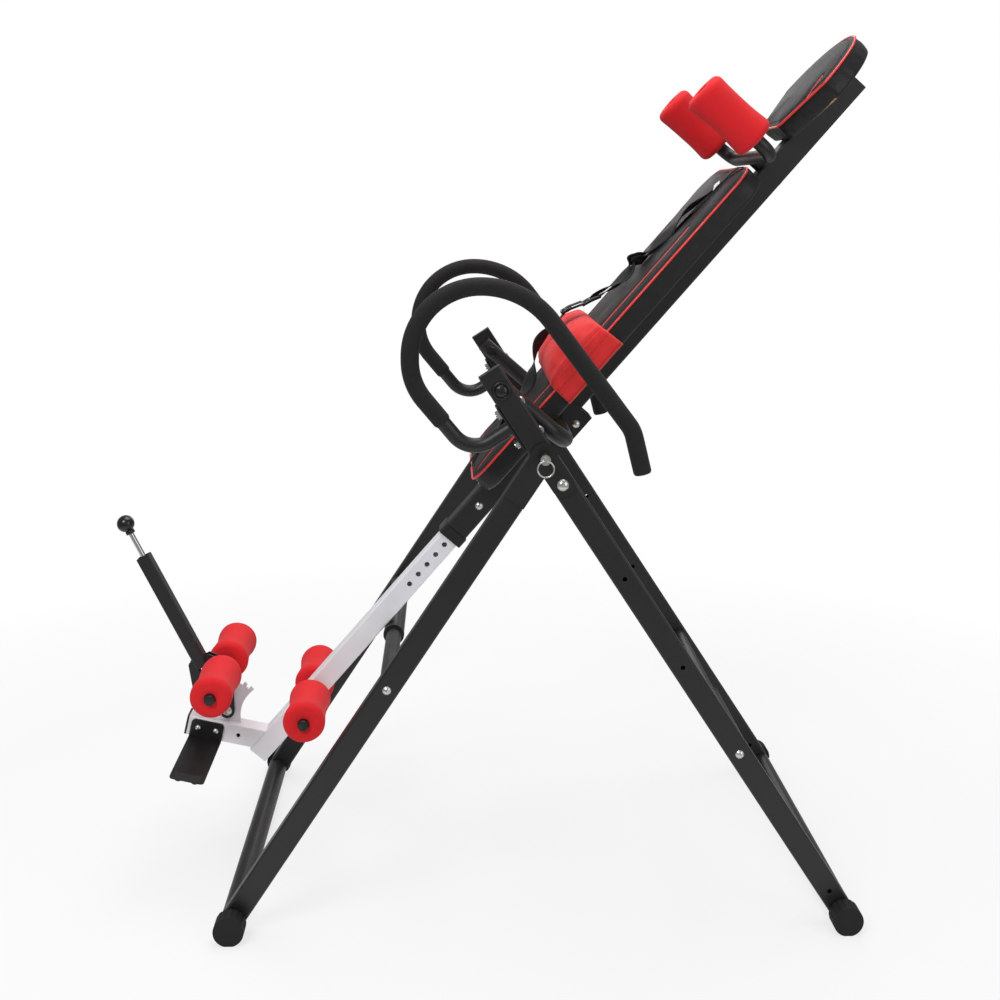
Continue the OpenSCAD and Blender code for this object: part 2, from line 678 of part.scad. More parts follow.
// Front frame
module front_leg() difference() {
    front_axis() translate([0, leg_y, -leg_run + floor_tube_d / 4])
        linear_extrude(leg_run - floor_tube_d / 4)
            box_tube(leg_width, leg_depth + 2 * gap, leg_corner, leg_wall);
    front_axis() translate([0, 0, -leg_run])
        across(floor_tube_d, leg_in - 2 * gap - lead, leg_out + 2 * gap + lead);
    front_axis() translate([0, 0, -rest_bar_drop])
        across(screw_d, leg_in - 2 * gap - lead, leg_out + 2 * gap + lead);
    rear_axis() translate([-leg_width / 2 - gap, leg_in - leg_depth, -leg_width * 3])
        cube([leg_width * 4, leg_depth * 3, leg_width * 6]);
}
module front_leg_right() color(black) front_leg();
module front_leg_left() color(black) mirror([0, 1, 0]) front_leg();
module front_floor_tube() color(black)
    machine() translate([-foot_spread / 2, 0, foot_height]) floor_tube();
module front_foot_caps() color(rubber)
    machine() translate([-foot_spread / 2, 0, foot_height]) mirrored() foot_cap();

// Hinge plates straddle the rear leg; the outer ones carry the lock pin barrels
module hinge_plate_outline() {
    circle(r = hinge_plate_r);
    rotate(leg_lean) translate([-leg_width / 2, -hinge_drop]) square([leg_width, hinge_drop]);
    rotate(leg_lean) translate([0, -hinge_drop]) circle(d = leg_width);
    rotate(-leg_lean) translate([-leg_width / 2, -hinge_plate_reach])
        square([leg_width, hinge_plate_reach]);
}
module hinge_plate_blank() machine() translate([0, 0, crossing_height]) rotate([90, 0, 0])
    translate([0, 0, -hinge_plate]) linear_extrude(hinge_plate) hinge_plate_outline();
module hinge_plates() color(black) mirrored() {
    difference() {
        union() {
            translate([0, plate_in, 0]) hinge_plate_blank();
            rear_axis() across(barrel_d, plate_in, plate_out + barrel_h);
        }
        rear_axis() translate([0, 0, -hinge_drop])
            across(pin_d + 2 * running, plate_in - lead, plate_out + lead);
        rear_axis() across(lock_d + 2 * running, plate_in - lead, plate_out + barrel_h + lead);
    }
    difference() {
        translate([0, hinge_in, 0]) hinge_plate_blank();
        rear_axis() translate([0, 0, -hinge_drop])
            across(pin_d + 2 * running, hinge_in - lead, hinge_in + hinge_plate + lead);
    }
}

// Lock pins, drawn out of the rear leg, with a flat eye for the pull ring
eye_d = ring_wire + 2 * gap + seat;
ring_r = ring_d / 2 + ring_wire / 2;
lock_tip = leg_out + gap / 2;
lock_face = plate_out + barrel_h + gap + lock_travel;
eye_y = lock_face + lock_head + lock_d / 2;
module crossing() machine() translate([0, 0, crossing_height]) children();
module lock_pin() crossing() difference() {
    union() {
        across(lock_d, lock_tip, lock_face);
        across(barrel_d, lock_face, lock_face + lock_head);
        intersection() {
            across(lock_d, lock_face, eye_y + lock_d / 2);
            translate([-eye_t / 2, lock_face, -lock_d]) cube([eye_t, leg_spacing, 2 * lock_d]);
        }
    }
    translate([-lock_d, eye_y, 0]) rotate([0, 90, 0]) cylinder(d = eye_d, h = 2 * lock_d);
}
module lock_pin_right() color(zinc) lock_pin();
module lock_pin_left() color(zinc) mirror([0, 1, 0]) lock_pin();

// Pull rings hang from the eyes
module pull_ring() crossing() translate([0, eye_y, -ring_r]) rotate([90, 0, 0])
    rotate_extrude() translate([ring_r, 0]) circle(d = ring_wire);
module pull_ring_right() color(zinc) pull_ring();
module pull_ring_left() color(zinc) mirror([0, 1, 0]) pull_ring();

// Bed: pivot arms, saddle and tube
module pivot_arms() color(black) mirrored() bed() difference() {
    union() {
        translate([0, arm_y, -bed_depth + arm_bend])
            cylinder(d = arm_d, h = bed_depth - arm_bend + arm_overrun);
        translate([0, arm_y - arm_bend, -bed_depth + arm_bend]) rotate([0, 90, 0])
            rotate_extrude(angle = 90) translate([arm_bend, 0]) circle(d = arm_d);
        translate([0, 0, -bed_depth]) across(arm_d, saddle_y, arm_y - arm_bend);
    }
    across(bush_d, arm_y - arm_d, arm_y + arm_d);
    translate([0, arm_y, -bed_depth + arm_bend])
        cylinder(d = arm_d - 2 * arm_wall, h = bed_depth - arm_bend + arm_overrun - 2 * arm_wall);
    translate([0, arm_y - arm_bend, -bed_depth + arm_bend]) rotate([0, 90, 0])
        rotate_extrude(angle = 90) translate([arm_bend, 0]) circle(d = arm_d - 2 * arm_wall);
    translate([0, 0, -bed_depth]) across(arm_d - 2 * arm_wall, saddle_y, arm_y - arm_bend);
}
bush_d = pin_d + 6;
module pivot_bushes() color(plastic) mirrored() bed() difference() {
    across(bush_d, bush_in, leg_in - gap);
    across(pin_d + 2 * running, bush_in - lead, leg_in + lead);
}
module arm_saddle() color(black) bed() difference() {
    translate([-saddle_low, 0, 0]) union() {
        for (y = [-1, 1]) translate([0, y * (saddle_y - saddle_plate / 2) - saddle_plate / 2,
            tube_under - saddle_drop]) cube([saddle_length, saddle_plate, bed_tube + saddle_drop]);
        translate([0, -saddle_y, tube_under - saddle_drop - saddle_plate])
            cube([saddle_length, 2 * saddle_y, saddle_plate]);
    }
    translate([saddle_bolt, 0, saddle_bolt_z]) across(screw_d, -saddle_y - lead, saddle_y + lead);
}
saddle_bolt_z = tube_under - saddle_drop / 2;
module bed_bolts() color(zinc) bed() {
    translate([saddle_bolt, -saddle_y, saddle_bolt_z]) rotate([90, 0, 0])
        bolt(screw_d, 2 * saddle_y + screw_d, screw_head_d, screw_head_h);
    translate([saddle_bolt, saddle_y, saddle_bolt_z]) rotate([-90, 0, 0])
        nut(screw_d, 0.8 * screw_d);
    translate([-guide_screw, -bed_tube / 2, -bed_depth]) rotate([90, 0, 0])
        bolt(screw_d, bed_wall + seat, screw_head_d, screw_head_h);
    translate([shoulder_at, 0, tube_under]) rotate([180, 0, 0])
        bolt(screw_d, bed_tube + shoulder_d / 2, screw_head_d, screw_head_h);
}
guide_screw = boom_pin_at - 3 * screw_d;

module bed_tube() color(black) bed() difference() {
    translate([-bed_low, 0, -bed_depth]) rotate([0, 90, 0])
        linear_extrude(bed_low + bed_high) box_tube(bed_tube, bed_tube, leg_corner, bed_wall);
    translate([shoulder_at, 0, tube_under - lead]) cylinder(d = screw_d, h = bed_tube + 2 * lead);
    translate([-boom_pin_at, 0, -bed_depth]) across(lock_d + 2 * running, 0, bed_tube);
    translate([-guide_screw, 0, -bed_depth]) across(screw_d, -bed_tube, 0);
}
module tube_collar() color(plastic) bed() translate([-bed_low, 0, -bed_depth]) rotate([0, 90, 0])
    difference() {
        translate([0, 0, -plug_rim]) linear_extrude(collar_length)
            rounded(collar_size, collar_size, leg_corner);
        linear_extrude(collar_length) rounded(bed_tube, bed_tube, leg_corner);
        translate([0, 0, -plug_rim - lead]) linear_extrude(collar_length)
            square(boom + 2 * gap, center = true);
    }
module tube_end_plug() color(plastic) bed() translate([bed_high, 0, -bed_depth])
    rotate([0, 90, 0]) {
        linear_extrude(plug_rim) rounded(bed_tube, bed_tube, leg_corner);
        plug(bed_tube, bed_tube, leg_corner, bed_wall);
    }

// Pads
module back_outline(inset) translate([(back_high - back_low) / 2, 0])
    rounded(back_high + back_low - 2 * inset, back_width - 2 * inset, back_corner - inset);
module head_outline(inset) intersection() {
    translate([head_high - head_width / 2, 0]) circle(r = head_width / 2 - inset, $fn = 96);
    polygon([[head_low + inset, -head_foot / 2 + inset / 2], [head_low + inset, head_foot / 2 - inset / 2],
        [head_high - head_width / 2, head_width / 2 - inset], [head_high, head_width / 2],
        [head_high, -head_width / 2], [head_high - head_width / 2, -head_width / 2 + inset]]);
}
module pad_boards() color(wood) bed() translate([0, 0, tube_top]) linear_extrude(board) {
    back_outline(board_inset);
    head_outline(board_inset);
}
module back_cushion() color(vinyl) bed() difference() {
    translate([0, 0, tube_top + wrap_back]) linear_extrude(board + cushion - wrap_back)
        back_outline(0);
    translate([0, 0, tube_top - lead]) linear_extrude(board + lead) back_outline(board_inset - seat);
}
module head_cushion() color(vinyl) bed() difference() {
    translate([0, 0, tube_top + wrap_back]) linear_extrude(board + cushion - wrap_back)
        head_outline(0);
    translate([0, 0, tube_top - lead]) linear_extrude(board + lead) head_outline(board_inset - seat);
}
lumbar_in = back_width / 2 + gap;
lumbar_out = lumbar_in + lumbar_flap;
module lumbar_pad() color(red) bed() translate([lumbar_low, 0, 0]) rotate([90, 0, 90])
    linear_extrude(lumbar_length) difference() {
        union() {
            translate([-lumbar_out, tube_top]) square([2 * lumbar_out,
                board + cushion + gap + lumbar_rise - lumbar_corner]);
            translate([-lumbar_out + lumbar_corner, tube_top]) square([2 * (lumbar_out - lumbar_corner),
                board + cushion + gap + lumbar_rise]);
            for (y = [-1, 1]) translate([y * (lumbar_out - lumbar_corner),
                cushion_face + gap + lumbar_rise - lumbar_corner]) circle(r = lumbar_corner);
        }
        translate([-lumbar_in, tube_top - lead]) square([2 * lumbar_in, board + cushion + gap + lead]);
    }

// Strap over the back cushion and its buckle above the lumbar pad
buckle_low = lumbar_low + lumbar_length + screw_d / 2;
strap_face = cushion_face + gap;
buckle_z = cushion_face + buckle_rise;
strap_rise = buckle_low + buckle_length + strap_fall;
strap_run = back_high - strap_rise;
strap_turn = atan2(strap_side, strap_run);
climb = atan2(buckle_z - strap_face, strap_fall);
climb_run = norm([strap_fall, buckle_z - strap_face]) + strap_t;
module lumbar_strap() color(webbing) bed() {
    translate([strap_rise, 0, strap_face]) rotate([0, 0, -strap_turn])
        translate([0, -strap_width / 2, 0]) cube([norm([strap_run, strap_side]), strap_width, strap_t]);
    translate([strap_rise + strap_t, -strap_width / 2, strap_face]) rotate([0, climb, 0])
        translate([-climb_run, 0, 0]) cube([climb_run, strap_width, strap_t]);
}
buckle_rim = 4;
module strap_buckle() color(plastic) bed()
    translate([buckle_low + buckle_length / 2, 0, buckle_z - buckle_t * 2 / 3]) difference() {
        linear_extrude(buckle_t) rounded(buckle_length, strap_width + 2 * buckle_rim, buckle_rim);
        for (x = [-1, 1]) translate([x * (buckle_length / 2 - 2 * buckle_rim), 0, -lead])
            linear_extrude(buckle_t + 2 * lead) square([buckle_rim, strap_width + 2 * gap], center = true);
    }

// Shoulder holders
module shoulder_loop(d, over) translate([shoulder_at, 0, -shoulder_depth]) {
    across(d, -shoulder_half + shoulder_bend, shoulder_half - shoulder_bend);
    mirrored() translate([0, shoulder_half - shoulder_bend, shoulder_bend]) {
        rotate([0, 90, 0]) rotate_extrude(angle = 90) translate([shoulder_bend, 0]) circle(d = d);
        translate([0, shoulder_bend, 0])
            cylinder(d = d, h = shoulder_reach + shoulder_depth - shoulder_bend - shoulder_sunk + over);
    }
}
module shoulder_bar() color(black) bed() difference() {
    union() {
        translate([shoulder_at, 0, tube_top]) cylinder(d = shoulder_d, h = -shoulder_depth - tube_top);
        shoulder_loop(shoulder_d, 0);
    }
    shoulder_loop(shoulder_d - 2 * shoulder_wall, lead);
    translate([shoulder_at, 0, tube_top - lead]) cylinder(d = screw_d, h = shoulder_d / 2 + lead);
}
module roller(bore) rotate_extrude($fn = 64) difference() {
    union() {
        translate([0, roller_edge]) square([roller_d / 2, roller_length - 2 * roller_edge]);
        square([roller_d / 2 - roller_edge, roller_length]);
        for (z = [roller_edge, roller_length - roller_edge])
            translate([roller_d / 2 - roller_edge, z]) circle(r = roller_edge);
    }
    translate([roller_d / 2 + waist_r - roller_waist, roller_length / 2])
        circle(r = waist_r, $fn = 240);
    translate([-roller_d, -lead]) square([roller_d + bore / 2, roller_length + 2 * lead]);
}
waist_half = roller_length / 2 - roller_edge - 4;
waist_r = (waist_half * waist_half + roller_waist * roller_waist) / (2 * roller_waist);
module shoulder_rollers() color(red) mirrored() bed()
    translate([shoulder_at, shoulder_half, shoulder_reach - roller_length]) roller(shoulder_d + 2 * seat);

// Boom, lock pin and feet
module boom_tube() color(white) bed() difference() {
    translate([-boom_low, 0, -bed_depth]) rotate([0, 90, 0])
        linear_extrude(boom_low + boom_high) box_tube(boom, boom, small_corner, boom_wall);
    for (k = boom_holes) translate([-boom_pin_at - k * boom_pitch, 0, -bed_depth])
        across(lock_d + 2 * hole_play, -boom, boom);
    translate([-ankle_at, 0, -bed_depth]) across(axle_d, -boom, boom);
}
spring_out = lock_d + 5;
housing_d = spring_out + 7;
housing_wall = 3;
boom_pin_free = boom / 2 + gap / 2;
boom_knob_y = bed_tube / 2 + housing_h + gap + boom_pin_travel;
module boom_pin_housing() color(plastic) bed() translate([-boom_pin_at, 0, -bed_depth]) difference() {
    across(housing_d, bed_tube / 2, bed_tube / 2 + housing_h);
    across(lock_d + 2 * running, 0, bed_tube + housing_h);
    across(spring_out + 2 * seat, bed_tube / 2 + housing_wall, bed_tube / 2 + housing_h - housing_wall);
}
module boom_pin() color(plastic) bed() translate([-boom_pin_at, 0, -bed_depth]) {
    across(lock_d, boom_pin_free, boom_knob_y + lead);
    difference() {
        across(housing_d + lock_d, boom_knob_y, boom_knob_y + boom_knob);
        translate([0, boom_knob_y + boom_knob, 0]) sphere(r = lock_d);
    }
}
module boom_pin_spring() color(zinc) bed() translate([-boom_pin_at, 0, -bed_depth]) difference() {
    across(spring_out, bed_tube / 2 + housing_wall + seat,
        bed_tube / 2 + housing_h - housing_wall - seat);
    across(lock_d + 2 * seat, bed_tube / 2, bed_tube / 2 + housing_h);
}

module foot_tube() color(white) difference() {
    foot() linear_extrude(foot_length) box_tube(boom, boom, small_corner, boom_wall);
    bed() translate([-2 * boom_low, -boom, -bed_depth - boom]) cube([3 * boom_low, 2 * boom, 1.5 * boom]);
    foot() for (z = [-1, 1]) translate([0, 0, platform_at + z * platform_screws / 2])
        across(small_screw_d, -boom, boom);
    foot() translate([0, 0, clamp_at - spare_hole_in]) across(spare_hole_d, -boom, boom);
}
platform_at = foot_length - platform_width / 2 - platform_in;
module foot_tube_cap() color(plastic) foot() translate([0, 0, foot_length]) {
    linear_extrude(plug_rim) rounded(boom, boom, small_corner);
    plug(boom, boom, small_corner, boom_wall);
}
function on_foot(along, up) = [
    up * sin(foot_tilt) - along * cos(foot_tilt),
    -up * cos(foot_tilt) - along * sin(foot_tilt)];
module ratchet_quadrant() color(white) clamp() rotate([90, 0, 0])
    translate([0, 0, -quadrant_t / 2]) linear_extrude(quadrant_t) difference() {
        union() {
            intersection() {
                circle(r = quadrant_r);
                rotate(quadrant_from) polygon([[0, 0], [2 * quadrant_r, 0],
                    2 * quadrant_r * [cos(quadrant_arc / 2), sin(quadrant_arc / 2)],
                    2 * quadrant_r * [cos(quadrant_arc), sin(quadrant_arc)]]);
            }
            circle(r = quadrant_eye);
            polygon([on_foot(-quadrant_heel, 0), on_foot(-quadrant_heel, -clamp_over), toe, nose]);
        }
        translate((toe + nose) / 2 + hollow_off * [nose.y - toe.y, toe.x - nose.x] / norm(nose - toe))
            circle(r = quadrant_hollow);
        circle(d = pin_d);
        for (k = [0 : quadrant_notches - 1]) rotate(lever_lean - k * quadrant_pitch)
            translate([-notch / 2, quadrant_r - notch_depth]) square([notch, notch_depth + lead]);
    }
quadrant_eye = clamp_eye - 2;
quadrant_heel = 18;
toe = on_foot(quadrant_toe, -clamp_over);
tip_w = 0.7 * release_d;
tip_h = 8;
notch = tip_w + 2 * hole_play;
notch_depth = release_travel + gap;
quadrant_to = 90 + lever_lean + quadrant_pitch / 2;
quadrant_from = quadrant_to - quadrant_notches * quadrant_pitch - quadrant_land;
quadrant_arc = quadrant_to - quadrant_from;
nose = quadrant_r * [cos(quadrant_from), sin(quadrant_from)];
hollow_off = sqrt(quadrant_hollow ^ 2 - norm(nose - toe) ^ 2 / 4) - gap;

// Foot platforms: a flange on the foot tube, a tread and a lip, all with rounded ends
module tab(length, width) {
    square([length - platform_corner, width]);
    translate([0, platform_corner]) square([length, width - 2 * platform_corner]);
    for (side = [platform_corner, width - platform_corner])
        translate([length - platform_corner, side]) circle(r = platform_corner);
}
module foot_platform() foot() translate([0, boom / 2, platform_at - platform_width / 2]) difference() {
    union() translate([-boom / 2 - platform_t, 0, 0]) {
        translate([0, platform_t, 0]) rotate([90, 0, 0]) linear_extrude(platform_t)
            tab(boom, platform_width);
        rotate([90, 0, 90]) linear_extrude(platform_t)
            tab(platform_reach - boom / 2, platform_width);
        translate([0, platform_reach - boom / 2, platform_corner]) rotate([90, 0, 0])
            linear_extrude(platform_t) tab(platform_lip, platform_width - 2 * platform_corner);
    }
    for (z = [-1, 1]) translate([0, -lead, platform_width / 2 + z * platform_screws / 2])
        across(small_screw_d, 0, platform_t + 2 * lead);
}
module foot_platforms() color(black) mirrored() foot_platform();
module foot_bolts() color(zinc) {
    mirrored() foot() for (z = [-1, 1])
        translate([0, boom / 2 + platform_t, platform_at + z * platform_screws / 2])
            rotate([-90, 0, 0])
                bolt(small_screw_d, platform_t + boom_wall + small_screw_d,
                    0.75 * screw_head_d, screw_head_h);
    clamp() {
        translate([0, -clamp_y - clamp_plate - gap, 0]) rotate([90, 0, 0])
            bolt(pin_d, 2 * (clamp_y + clamp_plate + gap) + pin_d, 0.9 * head_d, head_h);
        translate([0, clamp_y + clamp_plate + gap, 0]) rotate([-90, 0, 0]) nut(pin_d, 0.8 * pin_d);
    }
}
clamp_y = plate_spread / 2;

// Ankle axles and rollers, along Y
axle_end = roller_in + roller_length + axle_out;
module axle() difference() {
    across(axle_d, -axle_end, axle_end);
    across(axle_d - 2 * axle_wall, -axle_end - lead, axle_end + lead);
}
module rear_ankle_axle() color(black) bed() translate([-ankle_at, 0, -bed_depth]) axle();
module rear_ankle_rollers() color(red) bed() translate([-ankle_at, 0, -bed_depth]) mirrored()
    translate([0, roller_in, 0]) rotate([-90, 0, 0]) roller(axle_d + 2 * seat);
arm_x = clamp_arm * cos(clamp_angle);
arm_z = clamp_arm * sin(clamp_angle);
module front_ankle_axle() color(black) clamp() translate([arm_x, 0, arm_z]) axle();
module front_ankle_rollers() color(red) clamp() translate([arm_x, 0, arm_z]) mirrored()
    translate([0, roller_in, 0]) rotate([-90, 0, 0]) roller(axle_d + 2 * seat);

// Clamp plates: an eye on the pivot, a boss round the axle and a foot for the lever
axle_boss = axle_d / 2 + plate_rim;
plate_foot = lever_low + plate_lap;
function on_lever(along, side) = [
    side * cos(lever_lean) - along * sin(lever_lean),
    side * sin(lever_lean) + along * cos(lever_lean)];
module clamp_plate_outline() difference() {
    union() {
        circle(r = clamp_eye);
        translate([arm_x, arm_z]) circle(r = axle_boss);
        polygon([
            [clamp_eye, 0],
            [arm_x + axle_boss, arm_z],
            [arm_x, arm_z + axle_boss],
            on_lever(plate_foot - small_corner, plate_head / 2),
            on_lever(plate_foot, plate_head / 2 - small_corner),
            on_lever(plate_foot, small_corner - plate_head / 2),
            on_lever(plate_foot - small_corner, -plate_head / 2),
            [-quadrant_r, plate_corner],
            [-clamp_eye, 0]]);
    }
    polygon([
        on_lever(lever_low, plate_limb - plate_head / 2),
        on_lever(lever_low, plate_head / 2 - plate_limb),
        on_lever(window_low, -plate_limb)]);
    translate([arm_x, arm_z]) circle(d = axle_d);
    circle(d = pin_d + 2 * running);
}
module clamp_plates() color(black) mirrored() clamp()
    translate([0, clamp_y + clamp_plate, 0]) rotate([90, 0, 0]) linear_extrude(clamp_plate)
        clamp_plate_outline();
module lever_tube() color(black) lever_axis() difference() {
    translate([0, 0, lever_low]) linear_extrude(lever_high - lever_low)
        box_tube(lever, lever, small_corner, lever_wall);
    for (side = [-1, 1]) translate([-lever, side * (clamp_y + clamp_plate / 2) - lever_slot / 2, 0])
        cube([2 * lever, lever_slot, plate_foot]);
}
lever_slot = clamp_plate + 2 * seat;

// Release rod: slides in the lever tube, its tip drops into the quadrant
rod_tip = quadrant_r + gap / 2;
module release_rod() color(zinc) lever_axis() {
    translate([0, 0, rod_tip + tip_h]) cylinder(d = release_d, h = knob_r - rod_tip - tip_h);
    translate([-tip_w / 2, -tip_w / 2, rod_tip]) cube([tip_w, tip_w, tip_h + lead]);
}
module lever_knob() color(plastic) lever_axis() difference() {
    union() {
        translate([0, 0, knob_r]) sphere(d = knob_d);
        translate([0, 0, knob_r - knob_d / 2 - knob_neck]) cylinder(d = knob_neck_d, h = knob_d / 2);
    }
    translate([0, 0, knob_r - knob_d]) cylinder(d = release_d, h = knob_d);
}
module release_spring() color(zinc) lever_axis() translate([0, 0, lever_low + plate_lap])
    ring(lever - 2 * lever_wall - 2 * gap, release_d + 2 * gap, release_spring_h);

rear_leg_left();
rear_leg_right();
rear_floor_tube();
rear_foot_caps();
pillar_caps();
handlebar_left();
handlebar_right();
handle_plates();
grip_foams();
frame_bolts();
stop_bar_sleeve();
stop_bar_rod();
pivot_bolts();
hinge_bolts();
front_leg_left();
front_leg_right();
front_floor_tube();
front_foot_caps();
hinge_plates();
rest_bar_sleeve();
rest_bar_rod();
rest_bar_bolts();
lock_pin_left();
lock_pin_right();
pull_ring_left();
pull_ring_right();
pivot_arms();
pivot_bushes();
arm_saddle();
bed_bolts();
bed_tube();
tube_collar();
tube_end_plug();
pad_boards();
back_cushion();
head_cushion();
shoulder_bar();
shoulder_rollers();
lumbar_pad();
lumbar_strap();
strap_buckle();
boom_pin_housing();
boom_pin();
boom_pin_spring();
boom_tube();
foot_tube();
foot_tube_cap();
ratchet_quadrant();
foot_platforms();
foot_bolts();
rear_ankle_axle();
rear_ankle_rollers();
clamp_plates();
lever_tube();
front_ankle_axle();
front_ankle_rollers();
release_rod();
lever_knob();
release_spring();
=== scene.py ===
import json
import math
import bmesh
import bpy
import numpy as np
from mathutils import Vector, Matrix, noise


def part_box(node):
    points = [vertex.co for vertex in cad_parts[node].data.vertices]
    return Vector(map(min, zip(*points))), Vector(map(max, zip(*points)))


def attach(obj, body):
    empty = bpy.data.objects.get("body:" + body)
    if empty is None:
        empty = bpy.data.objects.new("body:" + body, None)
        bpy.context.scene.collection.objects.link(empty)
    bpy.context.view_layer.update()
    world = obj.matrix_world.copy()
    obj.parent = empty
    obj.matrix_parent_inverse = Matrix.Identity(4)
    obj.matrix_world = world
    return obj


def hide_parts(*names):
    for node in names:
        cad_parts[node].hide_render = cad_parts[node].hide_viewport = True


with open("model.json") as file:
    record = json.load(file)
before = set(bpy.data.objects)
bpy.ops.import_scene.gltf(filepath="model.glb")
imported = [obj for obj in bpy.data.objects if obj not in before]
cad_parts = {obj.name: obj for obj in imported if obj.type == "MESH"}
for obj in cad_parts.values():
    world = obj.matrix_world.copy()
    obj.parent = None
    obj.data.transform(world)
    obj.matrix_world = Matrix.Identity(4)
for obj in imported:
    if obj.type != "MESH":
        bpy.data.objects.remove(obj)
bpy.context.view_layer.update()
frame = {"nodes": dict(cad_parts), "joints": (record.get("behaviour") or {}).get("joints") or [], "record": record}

NODES = frame["nodes"]
JOINTS = {j["name"]: j for j in frame["joints"]}
scene = bpy.context.scene

# ---- places
PIVOT = Vector(JOINTS["bed_tilt"]["pos_m"])
U = Vector(JOINTS["boom_slide"]["axis"]).normalized()
Y = Vector((0, 1, 0))
N = Vector((-U.z, 0, U.x))
# the rings' pivot, and the lean of the line from it down to the fold hinge
HINGE = Vector(JOINTS["frame_fold"]["pos_m"])
RING = Vector(JOINTS["ring_left_swing"]["pos_m"])
CROSS = Vector((RING.x, 0, RING.z))
DOWN = (HINGE - CROSS).normalized()
LEAN = math.atan2(DOWN.x, -DOWN.z)
TILT = math.asin(U.z)  # the bed's slope
SIDES = ((-1, "left"), (1, "right"))


def bed(x, y, z):
    """A point in the bed's own frame: x to the head, y across, z out of the padded face."""
    return PIVOT + U * x + Y * y + N * z


def span(node):
    """Lowest and highest corner of a CAD node in the bed's frame."""
    co = np.array([v.co for v in NODES[node].data.vertices])
    rel = co - np.array(PIVOT)
    loc = rel @ np.array([U, Y, N]).T
    return loc.min(0), loc.max(0)


# ---- materials
MATERIALS = {}


def nodes_of(name):
    """Node tree and main shader of a new material, kept in MATERIALS by its name."""
    m = bpy.data.materials.new(name)
    m.use_nodes = True
    MATERIALS[name] = m
    return m.node_tree, m.node_tree.nodes["Principled BSDF"]


def add(nt, kind, **values):
    """A shader node; each value sets the input of that name, or else the node's own setting."""
    n = nt.nodes.new(kind)
    for k, v in values.items():
        if k in n.inputs:
            n.inputs[k].default_value = v
        else:
            setattr(n, k, v)
    return n


def link(source, target):
    """Joins two sockets of one node tree."""
    target.id_data.links.new(source, target)


def fill(node, values):
    """Sets inputs of a node by their names."""
    for name, value in values.items():
        node.inputs[name].default_value = value


def both(nt, operation, one, other, kind="ShaderNodeMath"):
    """The result of an operation on two sockets."""
    n = add(nt, kind, operation=operation)
    link(one, n.inputs[0])
    link(other, n.inputs[1])
    return n.outputs[0]


def blend(nt, share, one, other):
    """A shader that goes from one to the other by share."""
    mix = add(nt, "ShaderNodeMixShader")
    for place, socket in enumerate((share, one, other)):
        link(socket, mix.inputs[place])
    return mix.outputs[0]


def ramp(nt, source, low, high, dark, light):
    """Maps a value between low and high to a number between dark and light."""
    r = add(nt, "ShaderNodeMapRange")
    fill(r, {"From Min": low, "From Max": high, "To Min": dark, "To Max": light})
    link(source, r.inputs["Value"])
    return r.outputs["Result"]


def tint(nt, base, factor, strength):
    """The base colour, darker and lighter with factor."""
    mix = add(nt, "ShaderNodeMix", data_type="RGBA")
    mix.inputs[6].default_value = tuple(c * (1 - strength) for c in base) + (1,)
    mix.inputs[7].default_value = tuple(min(1, c * (1 + strength)) for c in base) + (1,)
    link(factor, mix.inputs[0])
    return mix.outputs[2]


def coords(nt, stretch=(1, 1, 1), turn=(0, 0, 0)):
    """The object's own coordinates, stretched and turned."""
    tc = add(nt, "ShaderNodeTexCoord")
    mp = add(nt, "ShaderNodeMapping", Scale=stretch, Rotation=turn)
    link(tc.outputs["Object"], mp.inputs["Vector"])
    return mp.outputs["Vector"]


def noisy(nt, vec, scale, detail=3.0, rough=0.55):
    """Soft noise between 0 and 1."""
    n = add(nt, "ShaderNodeTexNoise", Scale=scale, Detail=detail, Roughness=rough)
    link(vec, n.inputs["Vector"])
    return n.outputs["Fac"]


def bump(nt, bsdf, heights):
    """Chains bumps: heights is a list of (socket, strength, distance)."""
    last = None
    for h, strength, distance in heights:
        b = add(nt, "ShaderNodeBump", Strength=strength, Distance=distance)
        link(h, b.inputs["Height"])
        if last is not None:
            link(last, b.inputs["Normal"])
        last = b.outputs["Normal"]
    link(last, bsdf.inputs["Normal"])


def mottled(nt, b, cloud, color, strength, low, high):
    """Colour and roughness of shader b that vary with cloud, the roughness from low to high."""
    link(tint(nt, color, cloud, strength), b.inputs["Base Color"])
    link(ramp(nt, cloud, 0.3, 0.7, low, high), b.inputs["Roughness"])


def surface(name, color, rough, fine=900, fine_bump=0.2, fine_d=0.0002, coat=0.0, spec=0.5):
    """Plain surface: a fine grain and slight broad changes of colour and gloss."""
    nt, b = nodes_of(name)
    vec = coords(nt)
    broad = noisy(nt, vec, 14, 4)
    mottled(nt, b, broad, color, 0.08, rough - 0.06, rough + 0.06)
    fill(b, {"Specular IOR Level": spec, "Coat Weight": coat, "Coat Roughness": 0.12})
    bump(nt, b, [(noisy(nt, vec, fine, 2), fine_bump, fine_d)])


def powder_coat(name, color, rough):
    """Painted steel: orange peel, slight gloss change, a few faint rubbed streaks."""
    nt, b = nodes_of(name)
    vec = coords(nt)
    peel = noisy(nt, vec, 620, 2)
    cloud = noisy(nt, vec, 9, 4)
    streak = noisy(nt, coords(nt, (6, 60, 6), (0, LEAN, 0)), 4, 6, 0.7)
    link(tint(nt, color, cloud, 0.12), b.inputs["Base Color"])
    dull = ramp(nt, cloud, 0.3, 0.7, rough - 0.05, rough + 0.06)
    rubbed = ramp(nt, streak, 0.35, 0.8, 0.0, 0.07)
    link(both(nt, "ADD", dull, rubbed), b.inputs["Roughness"])
    fill(b, {"Coat Weight": 0.12, "Coat Roughness": 0.25})
    bump(nt, b, [(peel, 0.22, 0.00025), (cloud, 0.05, 0.0008)])


